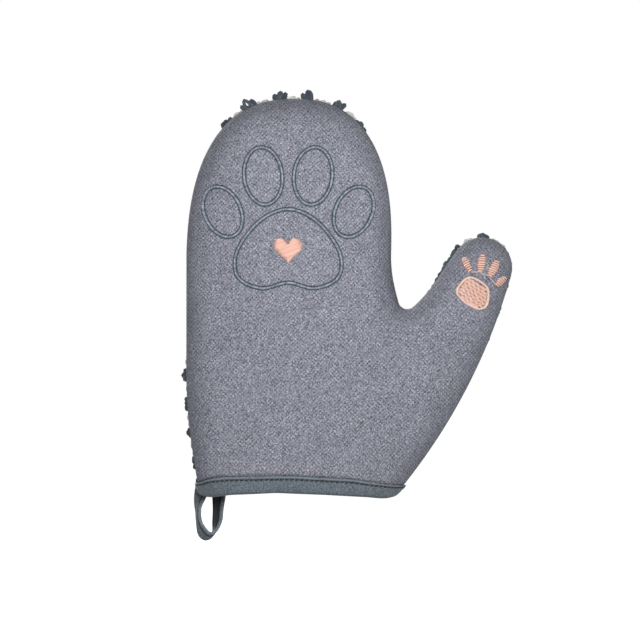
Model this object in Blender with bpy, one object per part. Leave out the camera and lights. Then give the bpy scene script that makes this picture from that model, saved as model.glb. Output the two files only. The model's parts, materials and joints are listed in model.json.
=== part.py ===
"""Padded pet grooming mitt, upright as worn.

The back panel and the tufted palm share one outline, which stands in the XZ plane: X runs to the
thumb side and Z to the fingertips. The back of the hand bulges to -Y and the pile stands to +Y.
The origin is the centre of the cuff's mouth. Each cloth layer is parted at the two lines where the
mitt bends, so that the fingers and the thumb can curl towards the palm.
"""

import math

import bmesh
import bpy
import numpy as np
from mathutils import Matrix, Vector
from mathutils.geometry import delaunay_2d_cdt

MM = 0.001

# Outline along the seam
HAND_LENGTH = 195.5 * MM  # cuff edge to fingertip seam
CUFF_WIDTH = 99.0 * MM
PALM_WIDTH = 101.4 * MM  # across the knuckles
PALM_SHIFT = -4.6 * MM  # centre of the palm from the centre of the cuff
WRIST_TAPER = 60.0 * MM  # height over which the cuff widens to the palm
TIP_SQUARENESS = 2.45  # exponent of the rounded fingertip
TIP_LEAN = 2.5 * MM  # how far the fingertip leans to the thumb side
CROTCH_HEIGHT = 91.5 * MM  # lowest point between fingers and thumb
CROTCH_GAP = 8.0 * MM  # from the side of the fingers to the middle of the crotch
CROTCH_RADIUS = 4.5 * MM
KNUCKLE_RISE = 26.5 * MM  # from the crotch to where the fingertip's curve starts
THUMB_OUT = 36.9 * MM  # crotch to the centre of the thumb's round tip
THUMB_UP = 20.5 * MM
THUMB_TIP_RADIUS = 15.0 * MM
THUMB_TIP_FROM = 143.0  # degrees at which the round tip starts, on the fingers' side
THUMB_TIP_TO = -14.0  # and ends, on the outer side
HEEL_BULGE = 6.5 * MM  # how far the heel of the thumb stands out of a straight line
OUTLINE_STEP = 10.0 * MM
TURN_STEP = math.radians(18.0)

# Crown of the back
SIDE_RISE = 16.0 * MM
SIDE_RADIUS = 15.0 * MM
CROWN_RISE = 8.0 * MM
CROWN_REACH = 50.0 * MM
CROWN_STEP = 18.0 * MM  # between the points that carry the crown

# Crown of the palm
PALM_RISE = 4.0 * MM
PALM_REACH = 30.0 * MM

# Layers, from the outside in
SHELL_THICKNESS = 1.2 * MM
WADDING_THICKNESS = 3.0 * MM
LINING_THICKNESS = 0.6 * MM
GROUND_THICKNESS = 0.8 * MM
LAYER_GAP = 0.5 * MM
PANEL_GAP = 0.3 * MM  # between back and palm along the seam
PALM_CLEARANCE = 1.8 * MM  # round the palm's inner layers

# Bending lines
FLEX_GAP = 0.4 * MM
FLEX_CLEAR = 0.7 * MM  # bare cloth on each side of a bending line
THUMB_FOLD_ANGLE = math.radians(34.0)  # of the thumb's bending line, below X

# Pile: a lattice of tufts inside a row that follows the seam
PILE_HEIGHT = 6.0 * MM
COLUMN_PITCH = 7.4 * MM
ROW_PITCH = 6.5 * MM
TUFT_GAP = 0.8 * MM
TUFT_TIP = 2.3 * MM
RIM_PITCH = 7.2 * MM
RIM_LENGTH = 4.8 * MM  # of a rim tuft's foot along the seam
RIM_INSET = 3.3 * MM  # middle of the rim row from the seam
RIM_DEPTH = 5.0 * MM
RIM_SPLAY = 6.2 * MM  # how far the rim row's tips lean outwards where they lean most
RIM_LEAST = 0.3  # share of it on the thumb's outer side
RIM_TOWARDS = (-0.45, 0.89)  # they lean most over the fingertips and the little-finger side
RIM_DROP = 2.2 * MM  # how much lower those tips stand
SPLAY_CLEAR = 22.0 * MM  # less splay near the crotch, where tufts would cross

# Cuff binding, its stitching and the hanging loop
BINDING_WIDTH = 9.0 * MM
BINDING_THICKNESS = 0.9 * MM
BINDING_GAP = 0.3 * MM
STITCH_HEIGHT = 7.4 * MM
STITCH_RADIUS = 0.4 * MM
LOOP_LENGTH = 22.5 * MM
LOOP_OUTER_WIDTH = 12.5 * MM
LOOP_TAPE_WIDTH = 8.0 * MM
LOOP_TAPE_THICKNESS = 1.5 * MM
LOOP_GAP = 0.5 * MM
LOOP_DEPTH = -2.0 * MM  # middle of the tape in Y
LOOP_FLAT = 4.0 * MM  # flat at the bottom of the loop
TACK_HEIGHT = 5.0 * MM
TACK_WIDTH = 1.8 * MM
TACK_THICKNESS = 0.7 * MM

# Seam allowance inside the pocket
ALLOWANCE_WIDTH = 5.0 * MM
ALLOWANCE_THICKNESS = 1.2 * MM
ALLOWANCE_CLEAR = 2.2 * MM  # from the lining's rim to the strip

# Stitched figures
MOTIF_MARGIN = 8.5 * MM  # from the side of the fingers to the motif
MOTIF_RISE = 29.0 * MM  # from the knuckle line to the middle of the motif's pad
MOTIF_LINE = 0.75 * MM  # radius of the stitched line
STITCH_LIFT = 0.35 * MM
FILL_THICKNESS = 0.8 * MM
PAW_MARGIN = 1.2 * MM  # from the thumb's side to its paw print
PAW_DROP = 5.5 * MM  # paw below the centre of the thumb's tip
PAW_SIDE = -1.8 * MM  # and beside it

BELOW_CUFF = 8.0 * MM  # the forms run on below the cuff before they're cut
CLOSING_DEPTH = 30.0 * MM  # and close in a round end
FAR = 400.0 * MM
SQUARE = ((-1, -1), (1, -1), (1, 1), (-1, 1))

# Sizes that follow from those above
palm_left = PALM_SHIFT - PALM_WIDTH / 2
palm_right = PALM_SHIFT + PALM_WIDTH / 2
crotch_x = palm_right + CROTCH_GAP
knuckle_height = CROTCH_HEIGHT + KNUCKLE_RISE
fold_height = CROTCH_HEIGHT + 1.0 * MM
thumb_centre = (crotch_x + THUMB_OUT, CROTCH_HEIGHT + THUMB_UP)
back_stack = SHELL_THICKNESS + WADDING_THICKNESS + LINING_THICKNESS + 2 * LAYER_GAP
wadding_inset = SHELL_THICKNESS + LAYER_GAP
lining_inset = wadding_inset + WADDING_THICKNESS + LAYER_GAP
ground_low = PANEL_GAP
ground_high = ground_low + GROUND_THICKNESS
palm_wadding_low = -PANEL_GAP - WADDING_THICKNESS
palm_lining_high = palm_wadding_low - LAYER_GAP
palm_lining_low = palm_lining_high - LINING_THICKNESS
cuff_start = BINDING_THICKNESS + BINDING_GAP
fold_along = Vector((math.cos(THUMB_FOLD_ANGLE), 0, -math.sin(THUMB_FOLD_ANGLE)))
fold_across = Vector((math.sin(THUMB_FOLD_ANGLE), 0, math.cos(THUMB_FOLD_ANGLE)))


def arc(centre, radius, start_deg, end_deg, count):
    angles = np.radians(np.linspace(start_deg, end_deg, count))
    return [(centre[0] + radius * math.cos(a), centre[1] + radius * math.sin(a)) for a in angles]


def aim(angle_deg, way=1):
    """Direction of travel on a circle at an angle, with way -1 for clockwise."""
    a = math.radians(angle_deg)
    return (-way * math.sin(a), way * math.cos(a))


def bezier(start, start_aim, end, end_aim, count):
    """Curve that leaves start along one direction and reaches end along another."""
    a, d = np.array(start), np.array(end)
    pull = 0.38 * np.linalg.norm(d - a)
    b, c = a + pull * np.array(start_aim), d - pull * np.array(end_aim)
    steps = np.linspace(0, 1, count)[1:-1]
    weights = [((1 - t) ** 3, 3 * t * (1 - t) ** 2, 3 * t * t * (1 - t), t**3) for t in steps]
    return [tuple(wa * a + wb * b + wc * c + wd * d) for wa, wb, wc, wd in weights]


def even_points(line, step):
    """Points along a line about one step apart, and closer together where it turns."""
    line = np.array(line)
    legs = np.diff(line, axis=0)
    heading = np.unwrap(np.arctan2(legs[:, 1], legs[:, 0]))
    turn = np.abs(np.diff(heading, prepend=heading[0]))
    run = np.concatenate([[0], np.cumsum(np.linalg.norm(legs, axis=1) / step + turn / TURN_STEP)])
    even = np.linspace(0, run[-1], max(8, round(run[-1])))
    return np.column_stack([np.interp(even, run, line[:, k]) for k in (0, 1)])


def seam_outline():
    """The seam from below the cuff up the little-finger side, over the tip and thumb, and down again."""
    left = []
    for z in np.linspace(-BELOW_CUFF, WRIST_TAPER, 40):
        widen = math.sin(math.pi / 2 * z / WRIST_TAPER)
        left.append((-CUFF_WIDTH / 2 + (palm_left + CUFF_WIDTH / 2) * widen, z))
    tip = []
    for a in np.radians(np.linspace(180, 0, 121)):
        reach = 2 / TIP_SQUARENESS
        x = math.copysign(abs(math.cos(a)) ** reach, math.cos(a)) * PALM_WIDTH / 2
        rise = abs(math.sin(a)) ** reach
        z = knuckle_height + rise * (HAND_LENGTH - knuckle_height)
        tip.append((PALM_SHIFT + x + rise * TIP_LEAN, z))
    web = arc((crotch_x, CROTCH_HEIGHT + CROTCH_RADIUS), CROTCH_RADIUS, 195, 312, 24)
    thumb = arc(thumb_centre, THUMB_TIP_RADIUS, THUMB_TIP_FROM, THUMB_TIP_TO, 40)
    into_web = bezier(tip[-1], (0, -1), web[0], aim(195), 12)
    out_of_web = bezier(web[-1], aim(312), thumb[0], aim(THUMB_TIP_FROM, -1), 12)
    start, end = np.array(thumb[-1]), np.array((CUFF_WIDTH / 2, 0.0))
    side = end - start
    out = np.array((-side[1], side[0])) / np.linalg.norm(side)
    control = (start + end) / 2 + out * 2 * HEEL_BULGE
    steps = np.linspace(0.04, 1, 30)
    heel = [tuple((1 - t) ** 2 * start + 2 * t * (1 - t) * control + t * t * end) for t in steps]
    low = end + (end - control) / abs(end[1] - control[1]) * BELOW_CUFF
    middle, half = (low[0] + left[0][0]) / 2, (low[0] - left[0][0]) / 2
    turn = np.linspace(0, math.pi, 60)
    under = [(middle + half * math.cos(a), -BELOW_CUFF - CLOSING_DEPTH * math.sin(a)) for a in turn]
    line = left + tip + into_web + web + out_of_web + thumb + heel + under
    return even_points(line, OUTLINE_STEP)[:-1]


seam = seam_outline()


def inset_outline(amount):
    """The seam's outline moved inwards by amount, point for point."""
    before, after = np.roll(seam, 1, axis=0), np.roll(seam, -1, axis=0)
    a, b = seam - before, after - seam
    a /= np.linalg.norm(a, axis=1)[:, None]
    b /= np.linalg.norm(b, axis=1)[:, None]
    # The outline runs clockwise seen from -Y, so inwards is to the right of its run
    na, nb = np.column_stack([a[:, 1], -a[:, 0]]), np.column_stack([b[:, 1], -b[:, 0]])
    share = 1 + np.sum(na * nb, axis=1)
    return seam + amount * (na + nb) / np.maximum(share, 0.6)[:, None]


def seam_distance(points):
    """How far each plan point lies inside the seam, below zero outside it."""
    p = np.atleast_2d(np.asarray(points, float))
    a, b = seam, np.roll(seam, -1, axis=0)
    run = b - a
    t = np.clip(np.sum((p[:, None] - a) * run, axis=2) / np.sum(run * run, axis=1), 0, 1)
    away = np.linalg.norm(p[:, None] - (a + t[:, :, None] * run), axis=2).min(axis=1)
    above = (a[:, 1] > p[:, None, 1]) != (b[:, 1] > p[:, None, 1])
    with np.errstate(divide="ignore", invalid="ignore"):
        cross = a[:, 0] + (p[:, None, 1] - a[:, 1]) * run[:, 0] / run[:, 1]
    inside = np.sum(above & (p[:, None, 0] < cross), axis=1) % 2 == 1
    return np.where(inside, away, -away)


def crown(distance, inset):
    """Height of the back above the seam for a surface that lies inset inside the outer one."""
    s = np.clip((distance - inset) / (SIDE_RADIUS - inset), 0, 1)
    reach = np.clip(distance, 0, CROWN_REACH) / CROWN_REACH
    side = (SIDE_RISE - inset) * np.sqrt(1 - (1 - s) ** 2)
    return side + CROWN_RISE * (1 - (1 - reach) ** 2) * np.clip(s * 4, 0, 1)


def palm_rise(points):
    """How far the palm's pile cloth swells between the seam, the binding and the bending lines."""
    p = np.atleast_2d(np.asarray(points, float))
    from_thumb_fold = (p[:, 0] - crotch_x) * fold_across.x + (p[:, 1] - fold_height) * fold_across.z
    from_fold = np.abs(np.where(p[:, 0] < crotch_x, p[:, 1] - fold_height, from_thumb_fold))
    room = np.minimum.reduce([seam_distance(p), p[:, 1] - BINDING_WIDTH - 2 * ROW_PITCH, from_fold])
    return PALM_RISE * (1 - (1 - np.clip(room / PALM_REACH, 0, 1)) ** 2)


def material(name, colour, roughness=0.9):
    made = bpy.data.materials.new(name)
    made.use_nodes = True
    shader = made.node_tree.nodes["Principled BSDF"]
    shader.inputs["Base Color"].default_value = (*colour, 1)
    shader.inputs["Roughness"].default_value = roughness
    made.diffuse_color = (*colour, 1)
    return made


def new_object(name, data, look=None):
    obj = bpy.data.objects.new(name, data)
    bpy.context.scene.collection.objects.link(obj)
    if look:
        data.materials.append(look)
    return obj


def mesh_object(name, verts, faces, look=None):
    """An object of one closed mesh whose faces point outwards."""
    work = bmesh.new()
    corners = [work.verts.new(v) for v in verts]
    for face in faces:
        work.faces.new([corners[i] for i in face])
    bmesh.ops.recalc_face_normals(work, faces=work.faces)
    if work.calc_volume(signed=True) < 0:
        bmesh.ops.reverse_faces(work, faces=work.faces)
    mesh = bpy.data.meshes.new(name)
    work.to_mesh(mesh)
    work.free()
    return new_object(name, mesh, look)


def as_cutter(obj):
    obj.hide_render = True
    obj.display_type = "WIRE"
    return obj


def boolean(obj, cutter, operation):
    step = obj.modifiers.new(f"{operation.lower()} {cutter.name}", "BOOLEAN")
    step.operation = operation
    step.solver = "EXACT"
    step.object = cutter
    return obj


def prism(name, outline, low, high, look=None):
    """Plan outline in XZ made solid from low to high in Y."""
    n = len(outline)
    verts = [(x, low, z) for x, z in outline] + [(x, high, z) for x, z in outline]
    sides = [(i, (i + 1) % n, n + (i + 1) % n, n + i) for i in range(n)]
    return mesh_object(name, verts, [range(n), range(n, 2 * n)] + sides, look)


def back_form(name, inset, floor, look=None):
    """Solid under the crown of the back, with upright sides from the seam to its floor."""
    rim = inset_outline(inset)
    n = len(rim)
    plan = [tuple(p) for p in rim]
    for share in (0.06, 0.2, 0.45, 0.8):
        depth = share * (SIDE_RADIUS - inset)
        ring = inset_outline(inset + depth)
        plan += [tuple(p) for p in ring[np.abs(seam_distance(ring) - inset - depth) < 0.1 * depth]]
    low, high = rim.min(axis=0), rim.max(axis=0)
    columns, rows = (np.arange(low[k], high[k], CROWN_STEP) for k in (0, 1))
    grid = np.array([(x, z) for x in columns for z in rows])
    plan += [tuple(p) for p in grid[seam_distance(grid) > SIDE_RADIUS + 1 * MM]]
    made = delaunay_2d_cdt([Vector(p) for p in plan], [], [list(range(n))], 1, 1e-7)
    flat, faces = np.array([tuple(v) for v in made[0]]), [list(f) for f in made[2]]
    rise = crown(seam_distance(flat), inset)
    rim_index = [int(np.argmin(np.sum((flat - p) ** 2, axis=1))) for p in rim]
    rise[rim_index] = 0
    verts = [(x, -h, z) for (x, z), h in zip(flat, rise)]
    if floor:
        base = list(range(len(verts), len(verts) + n))
        verts += [(x, floor, z) for x, z in rim]
        for i in range(n):
            j = (i + 1) % n
            faces.append((rim_index[i], rim_index[j], base[j], base[i]))
    else:
        base = rim_index
    faces.append(base)
    return mesh_object(name, verts, faces, look)


def box(name, low, high, look=None):
    corners = [(low[0], low[2]), (high[0], low[2]), (high[0], high[2]), (low[0], high[2])]
    return prism(name, corners, low[1], high[1], look)


def section_plans(lowest):
    """Plan outlines of the hand, fingers and thumb, parted at the bending lines."""
    half = FLEX_GAP / 2
    corner = Vector((crotch_x, 0, fold_height))
    above, under = corner + fold_across * half, corner - fold_across * half
    fingers = [
        (-FAR, fold_height + half),
        (crotch_x - half, fold_height + half),
        (crotch_x - half, FAR),
        (-FAR, FAR),
    ]
    far_above, far_under = above + fold_along * FAR, under + fold_along * FAR
    thumb_start = above + fold_along * ((half - above.x + crotch_x) / fold_along.x)
    thumb = [
        (thumb_start.x, thumb_start.z),
        (far_above.x, far_above.z),
        (FAR * 1.5, FAR),
        (crotch_x + half, FAR),
    ]
    meet = under + fold_along * ((fold_height - half - under.z) / fold_along.z)
    hand_top = [(meet.x, meet.z), (-FAR, fold_height - half)]
    hand = [(-FAR, lowest), (FAR, lowest), (far_under.x, far_under.z)] + hand_top
    if far_under.z < lowest:
        cross = under + fold_along * ((lowest - under.z) / fold_along.z)
        hand = [(-FAR, lowest), (cross.x, lowest)] + hand_top
    return {"hand": hand, "fingers": fingers, "thumb": thumb}


def hinge(name, place):
    empty = new_object(name, None)
    empty.location = place
    empty.empty_display_size = 5 * MM
    return empty


def carry(obj, parent):
    """Hangs an object on a hinge without moving it."""
    obj.parent = parent
    obj.matrix_parent_inverse = Matrix.Translation(parent.location).inverted()


def on_back(x, z, lift):
    """Point over the back's cloth, lift away from it."""
    step = 0.5 * MM
    around = [(x, z), (x + step, z), (x - step, z), (x, z + step), (x, z - step)]
    h, hx, lx, hz, lz = crown(seam_distance(around), 0.0)
    normal = Vector(((lx - hx) / (2 * step), -1, (lz - hz) / (2 * step))).normalized()
    return Vector((x, -h, z)) + normal * lift


def stitched_line(name, points, radius, lift, look):
    """Closed round line of stitches over the back."""
    curve = bpy.data.curves.new(name, "CURVE")
    curve.dimensions = "3D"
    curve.bevel_depth = radius
    curve.bevel_resolution = 0
    line = curve.splines.new("POLY")
    line.points.add(len(points) - 1)
    for spot, p in zip(line.points, points):
        spot.co = (*(on_back(*p, lift + radius) if len(p) == 2 else p), 1)
    line.use_cyclic_u = True
    return new_object(name, curve, look)


def stitched_fill(name, outline, look):
    """Raised patch of close stitches that follows the back."""
    outline = np.array(outline)
    middle = outline.mean(axis=0)
    inner = [middle + (p - middle) * 0.5 for p in outline[::2]]
    plan = [Vector(p) for p in list(outline) + inner + [middle]]
    made = delaunay_2d_cdt(plan, [], [list(range(len(outline)))], 1, 1e-7)
    flat, faces = [tuple(v) for v in made[0]], [list(f) for f in made[2]]
    n = len(flat)
    rim = [int(np.argmin([(x - p[0]) ** 2 + (z - p[1]) ** 2 for x, z in flat])) for p in outline]
    verts = [on_back(x, z, lift) for lift in (STITCH_LIFT, STITCH_LIFT + FILL_THICKNESS) for x, z in flat]
    m = len(rim)
    walls = [(rim[i], rim[(i + 1) % m], n + rim[(i + 1) % m], n + rim[i]) for i in range(m)]
    top = [[n + i for i in reversed(f)] for f in faces]
    return mesh_object(name, verts, faces + top + walls, look)


def oval(centre, half_width, half_length, lean_deg, count):
    """Plan oval that leans to +X by an angle from Z."""
    lean = math.radians(lean_deg)
    points = []
    for a in np.linspace(0, 2 * math.pi, count, endpoint=False):
        u, v = half_width * math.cos(a), half_length * math.sin(a)
        x = centre[0] + u * math.cos(lean) + v * math.sin(lean)
        points.append((x, centre[1] - u * math.sin(lean) + v * math.cos(lean)))
    return points


def paw_pad(centre, scale, count):
    """Plan outline of a paw's main pad, 46 units wide before it is scaled."""
    half = [(0, 17), (13, 11.5), (23, -2), (22.5, -13.5), (12, -18.5), (0, -16)]
    loop = np.array(half + [(-x, z) for x, z in reversed(half[1:-1])], float)
    ring = []
    for i in range(len(loop)):
        a, b, c, d = (loop[(i + k) % len(loop)] for k in (-1, 0, 1, 2))
        square, cube = 2 * a - 5 * b + 4 * c - d, 3 * b - a - 3 * c + d
        for t in np.linspace(0, 1, 12, endpoint=False):
            ring.append(0.5 * (2 * b + (c - a) * t + square * t**2 + cube * t**3))
    pick = np.linspace(0, len(ring), count, endpoint=False).astype(int)
    return [(centre[0] + scale * ring[i][0], centre[1] + scale * ring[i][1]) for i in pick]


def heart(centre, width, count):
    points = []
    for a in np.linspace(0, 2 * math.pi, count, endpoint=False):
        x = 16 * math.sin(a) ** 3
        z = 13 * math.cos(a) - 5 * math.cos(2 * a) - 2 * math.cos(3 * a) - math.cos(4 * a)
        points.append((centre[0] + x * width / 32, centre[1] + z * width / 32))
    return points


def tuft_plan():
    """Each section's tufts: the four corners of each foot, and where the middle of its tip stands."""
    plan = {"hand": [], "fingers": [], "thumb": []}

    def plant(middle, along, half_along, half_across, lean, height):
        along = np.array(along)
        across = np.array((-along[1], along[0]))
        feet = np.array([middle + a * half_along * along + b * half_across * across for a, b in SQUARE])
        over = (feet[:, 0] - crotch_x) * fold_across.x + (feet[:, 1] - fold_height) * fold_across.z
        if feet[:, 1].min() < BINDING_WIDTH + 1 * MM:
            return
        if feet[:, 0].max() < crotch_x - FLEX_CLEAR and feet[:, 1].min() > fold_height + FLEX_CLEAR:
            part = "fingers"
        elif over.min() > FLEX_CLEAR and feet[:, 0].min() > crotch_x + FLEX_CLEAR:
            part = "thumb"
        elif over.max() < -FLEX_CLEAR and feet[:, 1].max() < fold_height - FLEX_CLEAR:
            part = "hand"
        else:
            return
        tip = [middle + lean + TUFT_TIP / 2 * (a * along + b * across) for a, b in SQUARE]
        plan[part].append((feet, tip, height))

    # Row along the seam, whose tips lean out past it
    path = inset_outline(RIM_INSET)[1:-1]
    run = np.concatenate([[0], np.cumsum(np.linalg.norm(np.diff(path, axis=0), axis=1))])
    for at in np.linspace(0, run[-1], round(run[-1] / RIM_PITCH)):
        here = np.array([np.interp(at, run, path[:, k]) for k in (0, 1)])
        ahead = np.array([np.interp(at + 1 * MM, run, path[:, k]) for k in (0, 1)])
        behind = np.array([np.interp(at - 1 * MM, run, path[:, k]) for k in (0, 1)])
        along = (ahead - behind) / np.linalg.norm(ahead - behind)
        from_crotch = math.hypot(here[0] - crotch_x, here[1] - CROTCH_HEIGHT)
        if from_crotch < SPLAY_CLEAR / 2:
            continue
        free = np.clip(from_crotch / SPLAY_CLEAR - 0.5, 0.1, 1) * np.clip(here[1] / SPLAY_CLEAR, 0.3, 1)
        out = np.array((-along[1], along[0]))
        free *= RIM_LEAST + (1 - RIM_LEAST) * max(0.0, float(out @ RIM_TOWARDS))
        lean = out * RIM_SPLAY * free
        plant(here, along, RIM_LENGTH / 2, RIM_DEPTH / 2, lean, PILE_HEIGHT - RIM_DROP * free)

    half = np.array((COLUMN_PITCH - TUFT_GAP, ROW_PITCH - TUFT_GAP)) / 2
    inner = RIM_INSET + RIM_DEPTH / 2 + TUFT_GAP
    columns = np.arange(-60, 60) * COLUMN_PITCH + PALM_SHIFT
    rows = np.arange(60) * ROW_PITCH + half[1] + FLEX_CLEAR * 1.5
    for z in np.concatenate([fold_height - rows, fold_height + rows]):
        for x in columns:
            corners = [(x + a * half[0], z + b * half[1]) for a, b in SQUARE]
            if seam_distance(corners).min() > inner:
                plant(np.array((x, z)), (1.0, 0.0), *half, np.zeros(2), PILE_HEIGHT)
    return plan


def pile_cloth(name, section, tufts, look):
    """One section of ground cloth with its tufts standing on it, as one body."""
    plan = [tuple(p) for p in seam[::-1]] + list(section)
    rings = [list(range(len(seam))), list(range(len(seam), len(plan)))]
    for feet, _, _ in tufts:
        rings.append(list(range(len(plan), len(plan) + 4)))
        plan += [tuple(p) for p in feet]
    made = delaunay_2d_cdt([Vector(p) for p in plan], [], rings, 0, 1e-7, True)
    flat, triangles, source, within = made[0], made[2], made[3], made[5]
    place = {first: i for i, firsts in enumerate(source) for first in firsts}
    kept = [(t, w) for t, w in zip(triangles, within) if 0 in w and 1 in w]
    open_edges = {}
    for t, _ in kept:
        for i in range(3):
            a, b = t[i], t[(i + 1) % 3]
            if open_edges.pop((b, a), None) is None:
                open_edges[(a, b)] = True
    follows = {a: b for a, b in open_edges}
    loop = [next(iter(follows))]
    while follows[loop[-1]] != loop[0]:
        loop.append(follows[loop[-1]])
    n, m = len(flat), len(loop)
    swell = palm_rise([tuple(p) for p in flat])
    verts = [(x, ground_high + rise, z) for (x, z), rise in zip(flat, swell)]
    verts += [(flat[i].x, ground_low, flat[i].y) for i in loop]
    faces = [list(t) for t, w in kept if max(w) < 2]
    faces.append([n + i for i in reversed(range(m))])
    faces += [(loop[i], n + i, n + (i + 1) % m, loop[(i + 1) % m]) for i in range(m)]
    for number, (_, tip, height) in enumerate(tufts):
        foot = [place[len(seam) + len(section) + 4 * number + k] for k in range(4)]
        top = list(range(len(verts), len(verts) + 4))
        tip_height = ground_high + height + min(swell[foot])
        verts += [(x, tip_height, z) for x, z in tip]
        faces.append(top)
        faces += [(foot[k], foot[(k + 1) % 4], top[(k + 1) % 4], top[k]) for k in range(4)]
    used = sorted({i for f in faces for i in f})
    again = {old: new for new, old in enumerate(used)}
    return mesh_object(name, [verts[i] for i in used], [[again[i] for i in f] for f in faces], look)


def mouth_line(inset, floor, height, count):
    """Closed line round the outside of the cuff at one height."""
    xs = np.linspace(-CUFF_WIDTH, CUFF_WIDTH, 2000)
    inside = xs[seam_distance([(x, height) for x in xs]) > inset]
    left, right = inside.min(), inside.max()
    turn = (1 - np.cos(np.linspace(0, math.pi, count))) / 2
    arch = [left + (right - left) * t for t in turn]
    rise = crown(seam_distance([(x, height) for x in arch]), inset)
    rise[0] = rise[-1] = 0
    line = [(x, -h, height) for x, h in zip(arch, rise)]
    palm = [(right + (left - right) * t, floor, height) for t in np.linspace(0, 1, count // 3)]
    return line + palm


def build():
    for old in list(bpy.data.objects):
        bpy.data.objects.remove(old, do_unlink=True)

    cloth = material("heather cloth", (0.26, 0.27, 0.32))
    wadding = material("wadding", (0.75, 0.74, 0.70))
    lining = material("lining", (0.42, 0.43, 0.46))
    pile = material("pile", (0.62, 0.63, 0.65))
    tape = material("binding tape", (0.136, 0.163, 0.189))
    seam_tape = material("seam overlock", (0.50, 0.50, 0.52))
    blue = material("blue thread", (0.20, 0.24, 0.33), 0.6)
    coral = material("coral thread", (0.84, 0.52, 0.42), 0.6)
    dark = material("dark thread", (0.05, 0.06, 0.08), 0.7)

    hinges = {
        "hand": None,
        "fingers": hinge("finger_hinge", (PALM_SHIFT, ground_high, fold_height)),
        "thumb": hinge("thumb_hinge", (crotch_x, ground_high, fold_height)),
    }
    sections = section_plans(cuff_start)
    deep = FAR / 4
    cutters = {part: as_cutter(prism(f"cut {part}", plan, -deep, deep)) for part, plan in sections.items()}

    # Back panel: cloth, wadding and lining nested under one crown
    through = 1 * MM
    back = (
        ("back_shell", 0.0, SHELL_THICKNESS, cloth),
        ("back_wadding", wadding_inset, WADDING_THICKNESS, wadding),
        ("back_lining", lining_inset, LINING_THICKNESS, lining),
    )
    for layer, inset, thickness, look in back:
        hollow = as_cutter(back_form(f"hollow {layer}", inset + thickness, through))
        for part, cutter in cutters.items():
            piece = back_form(f"{layer}_{part}", inset, 0.0, look)
            boolean(boolean(piece, hollow, "DIFFERENCE"), cutter, "INTERSECT")
            if hinges[part]:
                carry(piece, hinges[part])

    # Palm panel: pile cloth outside, wadding and lining inside
    tufts = tuft_plan()
    for part, plan in sections.items():
        piece = pile_cloth(f"palm_pile_{part}", plan, tufts[part], pile)
        if hinges[part]:
            carry(piece, hinges[part])
    inner = inset_outline(back_stack + PALM_CLEARANCE)
    palm = (
        ("palm_wadding", palm_wadding_low, -PANEL_GAP, wadding),
        ("palm_lining", palm_lining_low, palm_lining_high, lining),
    )
    for layer, low, high, look in palm:
        for part, cutter in cutters.items():
            piece = boolean(prism(f"{layer}_{part}", inner, low, high, look), cutter, "INTERSECT")
            if hinges[part]:
                carry(piece, hinges[part])

    # Overlocked seam allowance, which stands into the pocket
    strip_start = back_stack + ALLOWANCE_CLEAR
    strip_high = palm_lining_low - LAYER_GAP
    strip_low = strip_high - ALLOWANCE_THICKNESS
    middle = as_cutter(prism("strip middle", inset_outline(strip_start + ALLOWANCE_WIDTH), -deep, deep))
    plans = section_plans(BINDING_WIDTH + LAYER_GAP)
    hand = plans["hand"]
    base_middle = Vector((crotch_x, 0, fold_height)) + fold_along * (THUMB_OUT * 0.6)
    lowest = hand[0][1]
    heel_top = (base_middle.x, base_middle.z - 2 * MM)
    strips = {
        "wrist_side": ([(-FAR, lowest), (PALM_SHIFT, lowest), (PALM_SHIFT, hand[-1][1]), hand[-1]], None),
        "heel": ([(PALM_SHIFT, lowest), (FAR, lowest), (FAR, base_middle.z), heel_top], "hand"),
        "web": ([(PALM_SHIFT, lowest), heel_top, (base_middle.x, FAR), (PALM_SHIFT, FAR)], "hand"),
        "fingers": (plans["fingers"], None),
        "thumb": (plans["thumb"], None),
    }
    for name, (plan, also) in strips.items():
        strip = prism(f"seam_allowance_{name}", inset_outline(strip_start), strip_low, strip_high, seam_tape)
        boolean(strip, middle, "DIFFERENCE")
        boolean(strip, as_cutter(prism(f"strip {name}", plan, -deep, deep)), "INTERSECT")
        if also:
            boolean(strip, cutters[also], "INTERSECT")
        if hinges.get(name):
            carry(strip, hinges[name])

    # Binding folded over the cuff's edge: outer leg, fold and inner leg
    outer = BINDING_GAP + BINDING_THICKNESS
    binding = back_form("cuff_binding", -outer, ground_high + outer, tape)
    band = as_cutter(box("binding band", (-FAR, -FAR, 0), (FAR, FAR, BINDING_WIDTH)))
    pocket = as_cutter(back_form("binding pocket", back_stack + outer, through))
    pocket_side = palm_lining_low - outer
    above_palm = as_cutter(box("binding pocket side", (-FAR, -FAR, -FAR), (FAR, pocket_side, FAR)))
    boolean(pocket, above_palm, "INTERSECT")
    groove = as_cutter(back_form("binding groove", -BINDING_GAP, ground_high + BINDING_GAP))
    core = as_cutter(back_form("binding core", back_stack + BINDING_GAP, through))
    core_side = palm_lining_low - BINDING_GAP
    above_lining = as_cutter(box("binding core side", (-FAR, -FAR, -FAR), (FAR, core_side, FAR)))
    boolean(core, above_lining, "INTERSECT")
    upper = as_cutter(box("binding upper", (-FAR, -FAR, BINDING_THICKNESS), (FAR, FAR, FAR)))
    boolean(boolean(groove, core, "DIFFERENCE"), upper, "INTERSECT")
    for cutter, operation in ((band, "INTERSECT"), (pocket, "DIFFERENCE"), (groove, "DIFFERENCE")):
        boolean(binding, cutter, operation)

    stand_off = outer + STITCH_LIFT + STITCH_RADIUS
    ring = mouth_line(-stand_off, ground_high + stand_off, STITCH_HEIGHT, 33)
    stitched_line("binding_stitching", ring, STITCH_RADIUS, 0, dark)

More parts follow.
